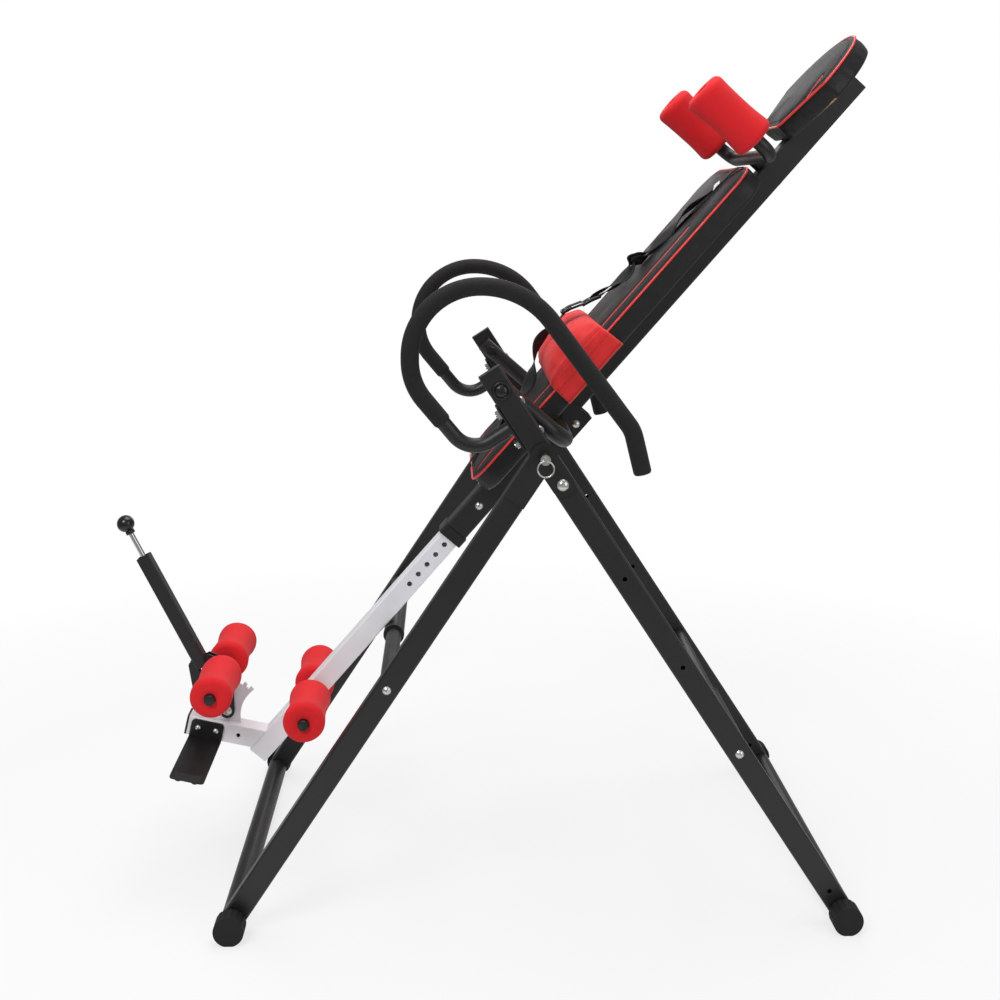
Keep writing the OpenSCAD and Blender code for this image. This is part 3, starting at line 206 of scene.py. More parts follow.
def foam(name, color, rough, scale):
    """Closed-cell foam: skin with fine cells and soft mottling."""
    nt, b = nodes_of(name)
    vec = coords(nt)
    cells = add(nt, "ShaderNodeTexVoronoi", Scale=scale, Randomness=1.0)
    link(vec, cells.inputs["Vector"])
    mottle = noisy(nt, vec, 46, 5, 0.65)
    fine = noisy(nt, vec, 1500, 2)
    mottled(nt, b, mottle, color, 0.14, rough - 0.06, rough + 0.06)
    fill(b, {"Sheen Weight": 0.05, "Sheen Roughness": 0.6, "Specular IOR Level": 0.3})
    bump(nt, b, [(mottle, 0.25, 0.0012), (cells.outputs["Distance"], 0.45, 0.0005), (fine, 0.3, 0.0002)])


def vinyl(name, color, rough, spec=0.4):
    """Grained upholstery vinyl."""
    nt, b = nodes_of(name)
    fill(b, {"Specular IOR Level": spec})
    vec = coords(nt)
    waver = add(nt, "ShaderNodeTexNoise", Scale=90.0, Detail=3.0)
    link(vec, waver.inputs["Vector"])
    small = add(nt, "ShaderNodeVectorMath", operation="SCALE")
    small.inputs["Scale"].default_value = 0.004
    link(waver.outputs["Color"], small.inputs[0])
    warp = both(nt, "ADD", vec, small.outputs[0], "ShaderNodeVectorMath")
    grain = add(nt, "ShaderNodeTexVoronoi", Scale=330, feature="DISTANCE_TO_EDGE")
    link(warp, grain.inputs["Vector"])
    crease = ramp(nt, grain.outputs["Distance"], 0.0, 0.12, 0.0, 1.0)
    broad = noisy(nt, vec, 11, 4)
    mottled(nt, b, broad, color, 0.16, rough - 0.05, rough + 0.07)
    bump(nt, b, [(broad, 0.12, 0.002), (crease, 0.3, 0.0004), (noisy(nt, vec, 1600, 2), 0.15, 0.0002)])


PER_SCALE = 6.283  # pitch at scale 1 of the wave texture, which has about 3 threads a metre


def cloth(name, color, rough, pitch):
    """Plain-woven cloth, threads along two directions of the bed's face."""
    nt, b = nodes_of(name)
    vec = coords(nt, turn=(0, -TILT, 0))
    heights = []
    for axis in ("X", "Y"):
        w = add(nt, "ShaderNodeTexWave", wave_type="BANDS", bands_direction=axis,
                Scale=pitch / PER_SCALE, Distortion=0.6, Detail=1.0)
        link(vec, w.inputs["Vector"])
        heights.append(w.outputs["Fac"])
    weave = both(nt, "MAXIMUM", *heights)
    broad = noisy(nt, vec, 26, 4)
    shade = both(nt, "MULTIPLY", ramp(nt, weave, 0.0, 1.0, 0.55, 1.0), broad)
    link(tint(nt, color, shade, 0.3), b.inputs["Base Color"])
    fill(b, {"Roughness": rough, "Sheen Weight": 0.08, "Sheen Roughness": 0.5})
    bump(nt, b, [(broad, 0.4, 0.003), (weave, 0.5, 0.0004)])


def metal(name, color, rough, scratch=0.12):
    """Plated metal with faint drawn lines."""
    nt, b = nodes_of(name)
    vec = coords(nt)
    cloud = noisy(nt, vec, 60, 4)
    lines = noisy(nt, coords(nt, (40, 900, 900)), 3, 4)
    mottled(nt, b, cloud, color, 0.1, rough - 0.05, rough + 0.08)
    b.inputs["Metallic"].default_value = 1.0
    bump(nt, b, [(lines, scratch, 0.0001)])


def plywood(name):
    """Bare board with its grain along the bed."""
    nt, b = nodes_of(name)
    vec = coords(nt, turn=(0, TILT, 0))
    w = add(nt, "ShaderNodeTexWave", wave_type="BANDS", bands_direction="Y", Scale=9.0, Distortion=7.0,
            Detail=4.0)
    link(coords(nt, (0.6, 4, 40), (0, TILT, 0)), w.inputs["Vector"])
    link(tint(nt, (0.42, 0.27, 0.13), w.outputs["Fac"], 0.3), b.inputs["Base Color"])
    b.inputs["Roughness"].default_value = 0.7
    bump(nt, b, [(w.outputs["Fac"], 0.3, 0.0006), (noisy(nt, vec, 400, 3), 0.2, 0.0004)])


powder_coat("black_frame", (0.0070, 0.0070, 0.0072), 0.44)
powder_coat("white_frame", (0.86, 0.87, 0.93), 0.36)
surface("rubber", (0.012, 0.012, 0.012), 0.72, fine=1300, fine_bump=0.35, fine_d=0.0003, spec=0.3)
surface("black_plastic", (0.009, 0.009, 0.0095), 0.38, fine=1500, fine_bump=0.25)
foam("black_foam", (0.0105, 0.0105, 0.0105), 0.78, 700)
foam("red_foam", (0.76, 0.012, 0.018), 0.8, 560)
metal("zinc", (0.66, 0.66, 0.63), 0.3)
metal("chrome", (0.62, 0.62, 0.62), 0.16, 0.05)
# the pads' vinyl in two copies: plain black for the sides, and a lighter grey for the face, a painted sheen of the
# light falling on it, with its specular turned down
vinyl("vinyl", (0.0085, 0.0083, 0.0083), 0.42)
vinyl("vinyl_face_painted_sheen", (0.026, 0.024, 0.024), 0.50, spec=0.2)
cloth("red_fabric", (0.80, 0.022, 0.022), 0.8, 900)
surface("piping", (0.80, 0.03, 0.025), 0.35, fine_bump=0.25, coat=0.3)
cloth("webbing", (0.012, 0.012, 0.012), 0.8, 1500)
cloth("tag", (0.80, 0.80, 0.78), 0.8, 2200)
surface("thread", (0.014, 0.014, 0.014), 0.6, fine=3000, fine_bump=0.5)
surface("red_thread", (0.30, 0.008, 0.008), 0.7, fine=3000, fine_bump=0.5)
surface("red_hem", (0.80, 0.13, 0.10), 0.6, fine=2600, fine_bump=0.4)
surface("gloss_black", (0.010, 0.010, 0.0105), 0.22, fine_bump=0.08)
plywood("plywood")

SLOT = {s["node"]: s["material_slot"] for s in frame["record"]["subparts"]}
for name, ob in NODES.items():
    ob.data.materials.clear()
    ob.data.materials.append(MATERIALS[SLOT[name]])


# ---- meshes
def placed(name, data):
    """A new object in the scene."""
    ob = bpy.data.objects.new(name, data)
    scene.collection.objects.link(ob)
    return ob


def make(name, verts, faces, mat, body, angle=None):
    """A smooth object that rides on body; edges sharper than angle degrees stay crisp."""
    me = bpy.data.meshes.new(name)
    me.from_pydata([tuple(v) for v in verts], [], faces)
    me.validate()
    me.update()
    for mt in ([mat] if isinstance(mat, str) else mat):
        me.materials.append(MATERIALS[mt])
    ob = placed(name, me)
    me.shade_smooth()
    if angle:
        me.set_sharp_from_angle(angle=math.radians(angle))
    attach(ob, body)
    return ob


def weld(ob, dist):
    """Joins corners closer than dist and turns the faces outwards."""
    bm = bmesh.new()
    bm.from_mesh(ob.data)
    bmesh.ops.remove_doubles(bm, verts=bm.verts, dist=dist)
    bmesh.ops.recalc_face_normals(bm, faces=bm.faces)
    bm.to_mesh(ob.data)
    bm.free()


def ring_faces(rows, n, closed=False):
    """Faces between rows of n points, each a ring; closed joins the last row to the first."""
    faces = []
    for j in range(rows if closed else rows - 1):
        here, after = j * n, (j + 1) % rows * n
        for k in range(n):
            k2 = (k + 1) % n
            faces.append((here + k, here + k2, after + k2, after + k))
    return faces


def end_faces(rows, n):
    """Faces that close the first and the last of rows of n points."""
    return [tuple(reversed(range(n))), tuple(range((rows - 1) * n, rows * n))]


def tube(pts, radius, sides=16, closed=False, caps=True):
    """Vertices and faces of a tube along pts; radius is a number or one per point."""
    n = len(pts)
    rad = radius if hasattr(radius, "__len__") else [radius] * n
    tang = []
    for i in range(n):
        a = pts[(i - 1) % n] if closed or i else pts[0]
        b = pts[(i + 1) % n] if closed or i < n - 1 else pts[-1]
        tang.append((b - a).normalized())
    side = tang[0].orthogonal().normalized()
    verts = []
    for i in range(n):
        if i:
            side = tang[i - 1].rotation_difference(tang[i]) @ side
            side = (side - tang[i] * side.dot(tang[i])).normalized()
        other = tang[i].cross(side)
        for k in range(sides):
            a = 2 * math.pi * k / sides
            verts.append(pts[i] + (side * math.cos(a) + other * math.sin(a)) * rad[i])
    faces = ring_faces(n, sides, closed)
    if caps and not closed:
        faces += end_faces(n, sides)
    return verts, faces


def lathe(profile, origin, axis, sides=72, wobble=0.0, seed=0):
    """Turns (distance along axis, radius) pairs about the unit vector axis."""
    e1 = axis.orthogonal().normalized()
    e2 = axis.cross(e1)
    verts = []
    for z, r in profile:
        for k in range(sides):
            a = 2 * math.pi * k / sides
            rr = r
            if wobble and r > 0.02:
                q = Vector((math.cos(a) * r, math.sin(a) * r, z)) * 26 + Vector((seed, seed * 2, 0))
                rr += wobble * noise.noise(q)
            verts.append(origin + axis * z + (e1 * math.cos(a) + e2 * math.sin(a)) * rr)
    return verts, ring_faces(len(profile), sides) + end_faces(len(profile), sides)


def merge(parts):
    """Many meshes as one."""
    verts, faces = [], []
    for v, f in parts:
        o = len(verts)
        verts += v
        faces += [tuple(i + o for i in g) for g in f]
    return verts, faces


def in_bed(points):
    """Points of the bed's own frame, in the world."""
    return [bed(*p) for p in points]


def bell(s, peak, width):
    """A bump of height 1 round peak."""
    return math.exp(-((s - peak) / width) ** 2)


def clamp(s):
    """The value s, kept between 0 and 1."""
    return max(0.0, min(1.0, s))


def corner_arc(a, p, b, radius):
    """Centre, first arm and turn of the arc that rounds the corner p between a and b."""
    u, v = (a - p).normalized(), (b - p).normalized()
    half = u.angle(v) / 2
    cut = radius / math.tan(half)
    centre = p + (u + v).normalized() * radius / math.sin(half)
    arm = p + u * cut - centre
    return centre, arm, arm.angle_signed(p + v * cut - centre)


def swing(centre, arm, turn, steps):
    """Points of an arc, from its first arm round by turn."""
    return [centre + Matrix.Rotation(-turn * k / steps, 2) @ arm for k in range(steps + 1)]


# ---- bed sizes, from the frame
back_lo, back_hi = span("back_cushion")
head_lo, head_hi = span("head_cushion")
lum_lo, lum_hi = span("lumbar_pad")
buckle_lo, buckle_hi = span("strap_buckle")
BOARD_LOW = span("pad_boards")[0][2]
FACE = back_hi[2]
BACK_HALF = back_hi[1]
HEAD_HALF = head_hi[1]
BACK_CORNER = 0.044
HEAD_FOOT = 0.065  # half the head pad's width at its foot
HEAD_CORNER = 0.018


FILLET_STEPS = 14


def fillet(corners, radius):
    """A closed outline with rounded corners; the corners run anticlockwise."""
    out = []
    corners = [Vector(c) for c in corners]
    for i, p in enumerate(corners):
        out += swing(*corner_arc(corners[i - 1], p, corners[(i + 1) % len(corners)], radius), FILLET_STEPS)
    return out


def lengths(pts):
    """The distance along pts to each of them."""
    far = [0.0]
    for a, b in zip(pts, pts[1:]):
        far.append(far[-1] + (b - a).length)
    return far


def resample(outline, count):
    """The closed outline again, with count evenly spaced points."""
    pts = [Vector(p) for p in (*outline, outline[0])]
    far = lengths(pts)
    out, j = [], 0
    for k in range(count):
        s = far[-1] * k / count
        while far[j + 1] < s:
            j += 1
        t = (s - far[j]) / max(1e-9, far[j + 1] - far[j])
        out.append(pts[j].lerp(pts[j + 1], t))
    return out


def outward(outline):
    """The outward direction at each point of a closed outline."""
    n = len(outline)
    out = []
    for i in range(n):
        d = (outline[(i + 1) % n] - outline[i - 1]).normalized()
        out.append(Vector((d.y, -d.x)))
    return out


COUNT = 300  # points round each pad
back_outline = resample(fillet(
    [(back_lo[0], -BACK_HALF), (back_hi[0], -BACK_HALF), (back_hi[0], BACK_HALF), (back_lo[0], BACK_HALF)],
    BACK_CORNER), COUNT)
# the head pad: two rounded corners at its foot and one arc round its top
head_mid = head_hi[0] - HEAD_HALF
head_arc = [(head_mid + HEAD_HALF * math.sin(a), -HEAD_HALF * math.cos(a))
            for a in np.linspace(0.06, math.pi - 0.06, 60)]
head_foot = fillet([(head_lo[0], HEAD_FOOT), (head_lo[0], -HEAD_FOOT), head_arc[0], head_arc[-1]],
                   HEAD_CORNER)[:2 * (FILLET_STEPS + 1)]
head_outline = resample(head_foot + head_arc, COUNT)

SEAM_DROP = 0.0085  # from the CAD face down to the piped seam
CROWN = 0.0095  # rise of the face over the seam
CROWN_RUN = 0.022  # distance from the edge over which it rises
PIPING = 0.0021  # radius of the piping in the seam
GROOVE = 0.0035  # depth of the grooves for laid piping
GROOVE_HALF = 0.0065
EDGE_IN = 0.0058  # from the outline in to the board's edge
EDGE_TOP = 0.0103  # how far up that edge the cover is modelled
WRAP = 0.0012  # how far the cover goes under the board
TURN_IN = 0.030  # width of the cover turned in there
BAND_ROWS = 9
STITCH_IN = 0.010  # from the piping in to the stitches on the face
STITCH_HALF = 0.0011  # half the length of a stitch
STITCH_R = 0.0004
STITCH_PITCH = 0.0034  # of the seams on the lumbar pad


def pad(name, node, outline, spine, inner_lines, seed):
    """Upholstered pad: crowned face, piped seam, side band and the cover turned under the board."""
    n = len(outline)
    norm = outward(outline)
    seam = FACE - SEAM_DROP
    under = BOARD_LOW - WRAP

    def crown(p, d, k):
        """Height of the face at p, which is d from the edge, next to the outline's point k."""
        rise = CROWN * (1 - math.exp(-d / CROWN_RUN))
        q = Vector((p.x * 9, p.y * 9, seed))
        edge = math.exp(-d / 0.03)
        pucker = noise.noise(Vector((k / n * 95, seed * 3, 0))) * 0.0011 * edge * (1 - math.exp(-d / 0.006))
        soft = 0.0010 * noise.noise(q) + 0.0005 * noise.noise(q * 3.1)
        dip = sum(GROOVE * bell(line(p), 0, GROOVE_HALF) for line in inner_lines)
        return seam + rise + pucker + soft * (1 - edge) - dip

    def ring(inset, z):
        """One row of points, inset from the outline."""
        return [(o - v * inset, z) for o, v in zip(outline, norm)]

    # inside the board's edge and under the board, then round to the band and up to the seam
    board = BOARD_LOW - 0.0002
    rings = [ring(EDGE_IN, BOARD_LOW + EDGE_TOP), ring(EDGE_IN, board), ring(TURN_IN, board)]
    fold = []
    for k, (o, v) in enumerate(zip(outline, norm)):
        wave = 0.0022 * noise.noise(Vector((k / n * 60, seed, 1.7)))
        fold.append((o - v * (TURN_IN + wave * 2), under - abs(wave) * 0.3))
    rings += [fold, ring(0.016, under - 0.0004), ring(0.006, under + 0.0002), ring(0.0015, under + 0.0022)]
    for j in range(BAND_ROWS):
        t = (j + 0.5) / BAND_ROWS
        row = []
        for k, (o, v) in enumerate(zip(outline, norm)):
            ripple = 0.0012 * noise.noise(Vector((k / n * 70, t * 1.5, seed + 5)))
            ripple += 0.0007 * noise.noise(Vector((k / n * 160 + t * 6, t * 4, seed + 9)))
            out = 0.0012 * math.sin(math.pi * t) + ripple * math.sin(math.pi * min(1, t * 1.15))
            row.append((o + v * out, under + 0.004 + (seam - under - 0.005) * t))
        rings.append(row)
    rings.append(ring(0.0006, seam - 0.0006))
    band = len(rings)
    # over the face, from the seam in to the spine
    shares = [0.006, 0.014, 0.024, 0.037, 0.052, 0.07, 0.09, 0.113, 0.14, 0.17, 0.205, 0.245, 0.29, 0.335,
              0.38, 0.425, 0.47, 0.52, 0.57, 0.63, 0.69, 0.75, 0.81, 0.87, 0.93, 1.0]
    for s in shares:
        row = []
        for k, o in enumerate(outline):
            q = Vector((min(max(o.x, spine[0]), spine[1]), 0))
            p = o.lerp(q, s)
            row.append((p, crown(p, (q - o).length * s, k)))
        rings.append(row)
    verts = [bed(*p, z) for row in rings for p, z in row]
    faces = ring_faces(len(rings), n) + [tuple(reversed(range(n)))]
    # the band and the cover under the board take the plain black vinyl, the face the lighter copy with the painted
    # sheen
    mats = [0] * (band * n) + [1] * ((len(rings) - 1 - band) * n) + [0]
    me_obj = make(name, verts, faces, ["vinyl", "vinyl_face_painted_sheen"], "bed")
    me_obj.data.polygons.foreach_set("material_index", mats[:len(me_obj.data.polygons)])
    weld(me_obj, 0.00005)
    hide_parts(node)
    # piping in the seam
    rim = [bed(*(o + v * 0.0012), seam) for o, v in zip(outline, norm)]
    pipe = make(name + "_piping", *tube(rim, PIPING, 10, closed=True), "piping", "bed")
    # stitches beside the piping on the face and on the band
    parts = []
    on_face = seam + CROWN * (1 - math.exp(-STITCH_IN / CROWN_RUN)) + 0.0007
    for off, z in ((-STITCH_IN, on_face), (0.0006, seam - 0.0085)):
        for k in range(n):
            here, after = outline[k], outline[(k + 1) % n]
            d = (after - here).normalized() * STITCH_HALF
            for t in (0, 0.5):
                c = here.lerp(after, t) + norm[k] * off
                parts.append(tube([bed(*(c - d), z), bed(*(c + d), z)], STITCH_R, 5))
    thread = make(name + "_stitches", *merge(parts), "thread", "bed")
    return crown


# lines of laid piping: one pair along the back pad, one pair of dashes on the head pad
LINE_Y = 0.105
LINE_END = 0.42
DASH_Y = 0.098
DASH_FROM = head_lo[0] + 0.061
DASH_TO = head_lo[0] + 0.109


def back_line(p):
    """Distance from p to the nearer line on the back pad."""
    return abs(abs(p.y) - LINE_Y) if p.x < LINE_END else math.hypot(abs(p.y) - LINE_Y, p.x - LINE_END)


def head_line(p):
    """Distance from p to the nearer dash on the head pad."""
    return math.hypot(abs(p.y) - DASH_Y, p.x - min(max(p.x, DASH_FROM), DASH_TO))


back_crown = pad("back_pad", "back_cushion", back_outline,
                 (back_lo[0] + BACK_HALF, back_hi[0] - BACK_HALF), [back_line], 3.1)
head_crown = pad("head_pad", "head_cushion", head_outline,
                 (head_lo[0] + HEAD_FOOT, head_mid), [head_line], 8.4)


LAID_R = 0.0014


def laid_piping(name, pts, crown, outline):
    """Decorative piping laid in its groove on a pad's face."""
    line = []
    for p in pts:
        d = min((o - p).length for o in outline)
        line.append(bed(p.x, p.y, crown(p, d, 0) + LAID_R * 0.75))
    ob = make(name, *tube(line, LAID_R, 10), "piping", "bed")


for side, tag in SIDES:
    run = [Vector((x, side * LINE_Y)) for x in np.linspace(back_lo[0] + 0.012, LINE_END, 90)]
    laid_piping("back_line_" + tag, run, back_crown, back_outline)
    dash = [Vector((x, side * DASH_Y)) for x in np.linspace(DASH_FROM, DASH_TO, 14)]
    laid_piping("head_line_" + tag, dash, head_crown, head_outline)


# ---- lumbar pad
FLAP_ROWS, CORNER_ROWS, TOP_ROWS = 16, 7, 44
HEM_ROW, SEAM_ROW = 2, 11  # rows of each flap that its hem and its seam run along
CORNER_ROW = FLAP_ROWS + CORNER_ROWS // 2
STATIONS = 58  # rows of points along the bed
PLUMP = 0.017  # thickness at the edge of the cushion
CORNER_R = 0.002
RIM = 0.004  # radius of the rounded ends


def quarter(s):
    """Height of a rounded edge, from 0 at s = 0 to 1 from s = 1 on."""
    return math.sqrt(max(0.0, 1 - max(0.0, 1 - s) ** 2))


def stitched(p, q, radius, off=Vector()):
    """Short threads along the line from p to q in the bed's frame."""
    steps = max(1, int((q - p).length / STITCH_PITCH))
    ends = [(p.lerp(q, (s + 0.15) / steps), p.lerp(q, (s + 0.75) / steps)) for s in range(steps)]
    return [tube([bed(*(a + off)), bed(*(b + off))], radius, 5) for a, b in ends]


def lumbar():
    """Cushion laid over the back pad, its cover coming down both sides as sewn flaps."""
    x0, x1 = lum_lo[0], lum_hi[0]
    inner_y = BACK_HALF + 0.0025
    inner_z = FACE + 0.0010
    low = lum_lo[2] + 0.0004
    flap_t = lum_hi[1] - inner_y
    rise = lum_hi[2] - inner_z
    # the inner surface across the bed, with its outward direction: flap, corner, top, corner, flap
    path = []
    for t in np.linspace(0, 1, FLAP_ROWS):
        path.append((-inner_y, low + (inner_z - CORNER_R - low) * t, -1.0, 0.0, "side", t))
    for a in np.linspace(0.12, 0.88, CORNER_ROWS):
        c, s = math.cos(a * math.pi / 2), math.sin(a * math.pi / 2)
        path.append((-inner_y + CORNER_R * (1 - c), inner_z - CORNER_R * (1 - s), -c, s, "corner", a))
    edge_rows = len(path)
    for t in np.linspace(0, 1, TOP_ROWS):
        path.append((-inner_y * (1 - 2 * t) * 0.985, inner_z, 0.0, 1.0, "top", t))
    path += [(-y, z, -ny, nz, kind, t) for y, z, ny, nz, kind, t in reversed(path[:edge_rows])]
    rows_out, rows_in = [], []
    for k in range(STATIONS):
        u = 0.5 - 0.5 * math.cos(math.pi * k / (STATIONS - 1))
        x = x0 + (x1 - x0) * u
        out, inn = [], []
        rim = quarter(min(u, 1 - u) * (x1 - x0) / RIM)
        arch = max(0.0, 1 - abs(2 * u - 1.06) ** 2.7) ** 0.62
        for y, z, ny, nz, kind, t in path:
            wob = noise.noise(Vector((x * 38, y * 30, z * 30)))
            fine = noise.noise(Vector((x * 110 + y * 60, y * 90, z * 70)))
            xx = x
            if kind == "side":
                hem = quarter(t / 0.06)
                thick = (flap_t * (0.62 + 0.38 * t) + 0.0011 * wob + 0.0005 * fine) * rim * hem
                thick -= 0.0013 * bell(t, SEAM_ROW / (FLAP_ROWS - 1), 0.03) * rim
                xx = x + (u - 0.5) * 0.004 * (1 - t)
            elif kind == "corner":
                base = flap_t + (PLUMP - flap_t) * math.sin(math.pi * t / 2)
                crease = 0.0034 * bell(t, 0.5, 0.16)
                thick = (base - crease) * (0.35 + 0.65 * arch) * rim + 0.0005 * fine * rim
            else:
                side = 1 - abs(2 * t - 1)
                grow = PLUMP / rise + (1 - PLUMP / rise) * (1 - math.exp(-side / 0.13))
                saddle = 1 - 0.13 * bell(2 * t, 1, 0.16)
                thick = rise * grow * saddle * (0.10 + 0.90 * arch) * rim
                pull = 0.0016 * math.sin(26 * u + 9 * abs(y)) * math.exp(-side / 0.12)
                thick += (0.0016 * wob + 0.0006 * fine + pull) * rim * (0.3 + 0.7 * arch)
            out.append(Vector((xx, y + ny * thick, z + nz * thick)))
            inn.append(Vector((xx, y, z)))
        rows_out.append(out)
        rows_in.append(inn)
    # outer and inner surface, then the faces that join them along all four edges
    m = len(path)
    inside = STATIONS * m
    faces = []
    for j in range(STATIONS - 1):
        for k in range(m - 1):
            a = j * m + k
            faces.append((a, a + m, a + m + 1, a + 1))
            faces.append((inside + a, inside + a + 1, inside + a + m + 1, inside + a + m))
        a, b = j * m, j * m + m - 1
        faces.append((a, inside + a, inside + a + m, a + m))
        faces.append((b, b + m, inside + b + m, inside + b))
    for k in range(m - 1):
        a = (STATIONS - 1) * m + k
        faces.append((k, k + 1, inside + k + 1, inside + k))
        faces.append((a, inside + a, inside + a + 1, a + 1))
    ob = make("lumbar_cover", in_bed(sum(rows_out + rows_in, [])), faces, "red_fabric", "bed")
    weld(ob, 0.00004)
    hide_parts("lumbar_pad")
    # seam stitches on the flaps and on both corners, and along the hems of the flaps
    parts = []
    for j in range(4, STATIONS - 5):
        for k in (SEAM_ROW, CORNER_ROW, m - 1 - CORNER_ROW, m - 1 - SEAM_ROW):
            parts += stitched(rows_out[j][k], rows_out[j + 1][k], 0.00045)
    for k, sign in ((HEM_ROW, -1), (m - 1 - HEM_ROW, 1)):
        for j in range(2, STATIONS - 3):
            parts += stitched(rows_out[j][k], rows_out[j + 1][k], STITCH_R, Vector((0, sign * 0.0002, 0)))
    th = make("lumbar_stitches", *merge(parts), "red_thread", "bed")
    # pale bound edge round each flap: down one end, along the bottom, up the other end
    parts = []
    for rows in (range(FLAP_ROWS), range(m - 1, m - 1 - FLAP_ROWS, -1)):
        edge = [rows_out[1][k] for k in reversed(rows)]
        edge += [rows_out[j][rows[0]] for j in range(1, STATIONS - 1)]
        edge += [rows_out[STATIONS - 2][k] for k in rows]
        parts.append(tube(in_bed(edge), 0.0007, 6))
    hem = make("lumbar_hem", *merge(parts), "red_hem", "bed")


lumbar()


# ---- strap
def ribbon(pts, width, thick, twist=None):
    """A woven band along pts, lying across the bed and turned by twist degrees at each point."""
    n = len(pts)
    half, t = width / 2, thick / 2
    flat = half - t / 2
    prof = [(-half, 0), (-flat, -t), (-half / 2, -t), (0, -t), (half / 2, -t), (flat, -t),
            (half, 0), (flat, t), (half / 2, t), (0, t), (-half / 2, t), (-flat, t)]
    verts = []
    for i, p in enumerate(pts):
        d = (pts[min(i + 1, n - 1)] - pts[max(i - 1, 0)]).normalized()
        a = U.cross(N)
        a = (a - d * a.dot(d)).normalized()
        if twist:
            a = Matrix.Rotation(math.radians(twist[i]), 3, d) @ a
        up = d.cross(a)
        verts += [p + a * w + up * h for w, h in prof]
    return verts, ring_faces(n, len(prof)) + end_faces(n, len(prof))


STRAP_ROWS = 150
ALONG = [i / (STRAP_ROWS - 1) for i in range(STRAP_ROWS)]


def curve(points):
    """A Catmull-Rom curve through given points of the bed's frame."""
    p = [Vector(q) for q in points]
    p = [p[0] * 2 - p[1]] + p + [p[-1] * 2 - p[-2]]
    out = []
    segs = len(p) - 3
    for share in ALONG:
        i = min(int(segs * share), segs - 1)
        t = segs * share - i
        a, b, c, d = p[i:i + 4]
        out.append(0.5 * ((2 * b) + (c - a) * t + (2 * a - 5 * b + 4 * c - d) * t * t
                          + (3 * b - a - 3 * c + d) * t ** 3))
    return in_bed(out)


STRAP_W = 0.025
STRAP_T = 0.0018
ON_FACE = FACE + 0.0015
STRAP_OFF = -0.080  # the strap's y at the pad's upper edge
STRAP_BEND = 0.30  # x where it comes to the middle of the pad
FIT_X = 0.166  # place of the slide at the pillow's upper edge
FIT_Z = FACE + 0.0500
b_mid = (buckle_lo[0] + buckle_hi[0]) / 2
b_z = (buckle_lo[2] + buckle_hi[2]) / 2


def strap_y(x):
    """The long strap's y on its slanting run over the pad."""
    return STRAP_OFF * (x - STRAP_BEND) / (back_hi[0] - STRAP_BEND)


def on(x, dy, dz):
    """A point of that run, moved aside by dy and lifted off the face by dz."""
    return x, strap_y(x) + dy, ON_FACE + dz


# long strap, from behind the pad's upper edge to the ladder buckle
upper = [(back_hi[0] + 0.0035, STRAP_OFF, FACE - 0.030), (back_hi[0] + 0.0045, STRAP_OFF, FACE - 0.014),
         (back_hi[0] - 0.001, STRAP_OFF, FACE - 0.0035), on(back_hi[0] - 0.014, 0, 0.0002),
         on(0.520, 0, 0.0012), on(0.470, 0, 0.0022), on(0.420, 0, 0.0016), on(0.385, 0, 0.0024),
         on(0.362, 0, 0.0040), on(0.342, 0.004, 0.0060), on(0.326, 0.006, 0.0105),
         (0.314, 0.004, ON_FACE + 0.0125), (0.300, -0.002, ON_FACE + 0.0095),
         (0.279, -0.003, ON_FACE + 0.0060), (0.257, 0.0, ON_FACE + 0.0115),
         (b_mid + 0.024, 0.001, b_z - 0.0040), (b_mid + 0.012, 0.0, b_z - 0.0010)]
upper_twist = [24 * math.sin(s * 23.0) * clamp((s - 0.25) * 4) * clamp((0.97 - s) * 8)
               + 46 * bell(s, 0.66, 0.055) for s in ALONG]
strap_main = make("strap_long", *ribbon(curve(upper), STRAP_W, STRAP_T, upper_twist), "webbing", "bed")

# free end, doubled back beside the long strap and curled where it was pulled through
tail = [on(0.505, -0.001, 0.0042), on(0.480, 0.004, 0.0060),
        (0.450, strap_y(0.455) + 0.008, ON_FACE + 0.0090),
        (0.420, strap_y(0.425) + 0.010, ON_FACE + 0.0075), (0.392, strap_y(0.40) + 0.004, ON_FACE + 0.0065),
        on(0.366, -0.002, 0.0095), on(0.346, 0.002, 0.0110), on(0.331, 0.006, 0.0180),
        (0.318, 0.008, ON_FACE + 0.0215), (0.306, 0.006, ON_FACE + 0.0170),
        (0.290, 0.003, ON_FACE + 0.0115), (0.268, 0.002, ON_FACE + 0.0125),
        (0.250, 0.001, ON_FACE + 0.0190), (b_mid + 0.008, 0.0, b_z + 0.0075),
        (b_mid - 0.006, 0.0, b_z + 0.006)]
tail_twist = [(30 * math.sin(s * 15.0) + 30 * bell(s, 0.60, 0.06)) * clamp(s * 8) * clamp((1 - s) * 8)
              for s in ALONG]
strap_tail = make("strap_tail", *ribbon(curve(tail), STRAP_W * 0.96, STRAP_T, tail_twist), "webbing", "bed")

# doubled webbing from the ladder buckle to the slide at the pillow's upper edge
LADDER_SLOPE = 0.42
LADDER_Z = b_z + 0.0045
web_x = buckle_lo[0] + 0.006
web_start = Vector((web_x, 0.0, LADDER_Z + LADDER_SLOPE * (b_mid - web_x)))
web_end = Vector((FIT_X + 0.005, 0.0, FIT_Z - 0.0020))
lift = Vector((0.0010, 0.0, 0.0060))  # from the lower to the upper layer of webbing
doubled = [web_start.lerp(web_end, t) for t in (0.0, 0.3, 0.6, 0.9)]
doubled += [Vector((FIT_X - 0.0035, 0.0, FIT_Z + 0.0010)), Vector((FIT_X - 0.0010, 0.0, FIT_Z + 0.0048))]
doubled += [web_end.lerp(web_start, t) + lift for t in (0.1, 0.4, 0.7, 1.0)]
strap_loop = make("strap_loop", *ribbon(curve(doubled), STRAP_W, STRAP_T), "webbing", "bed")

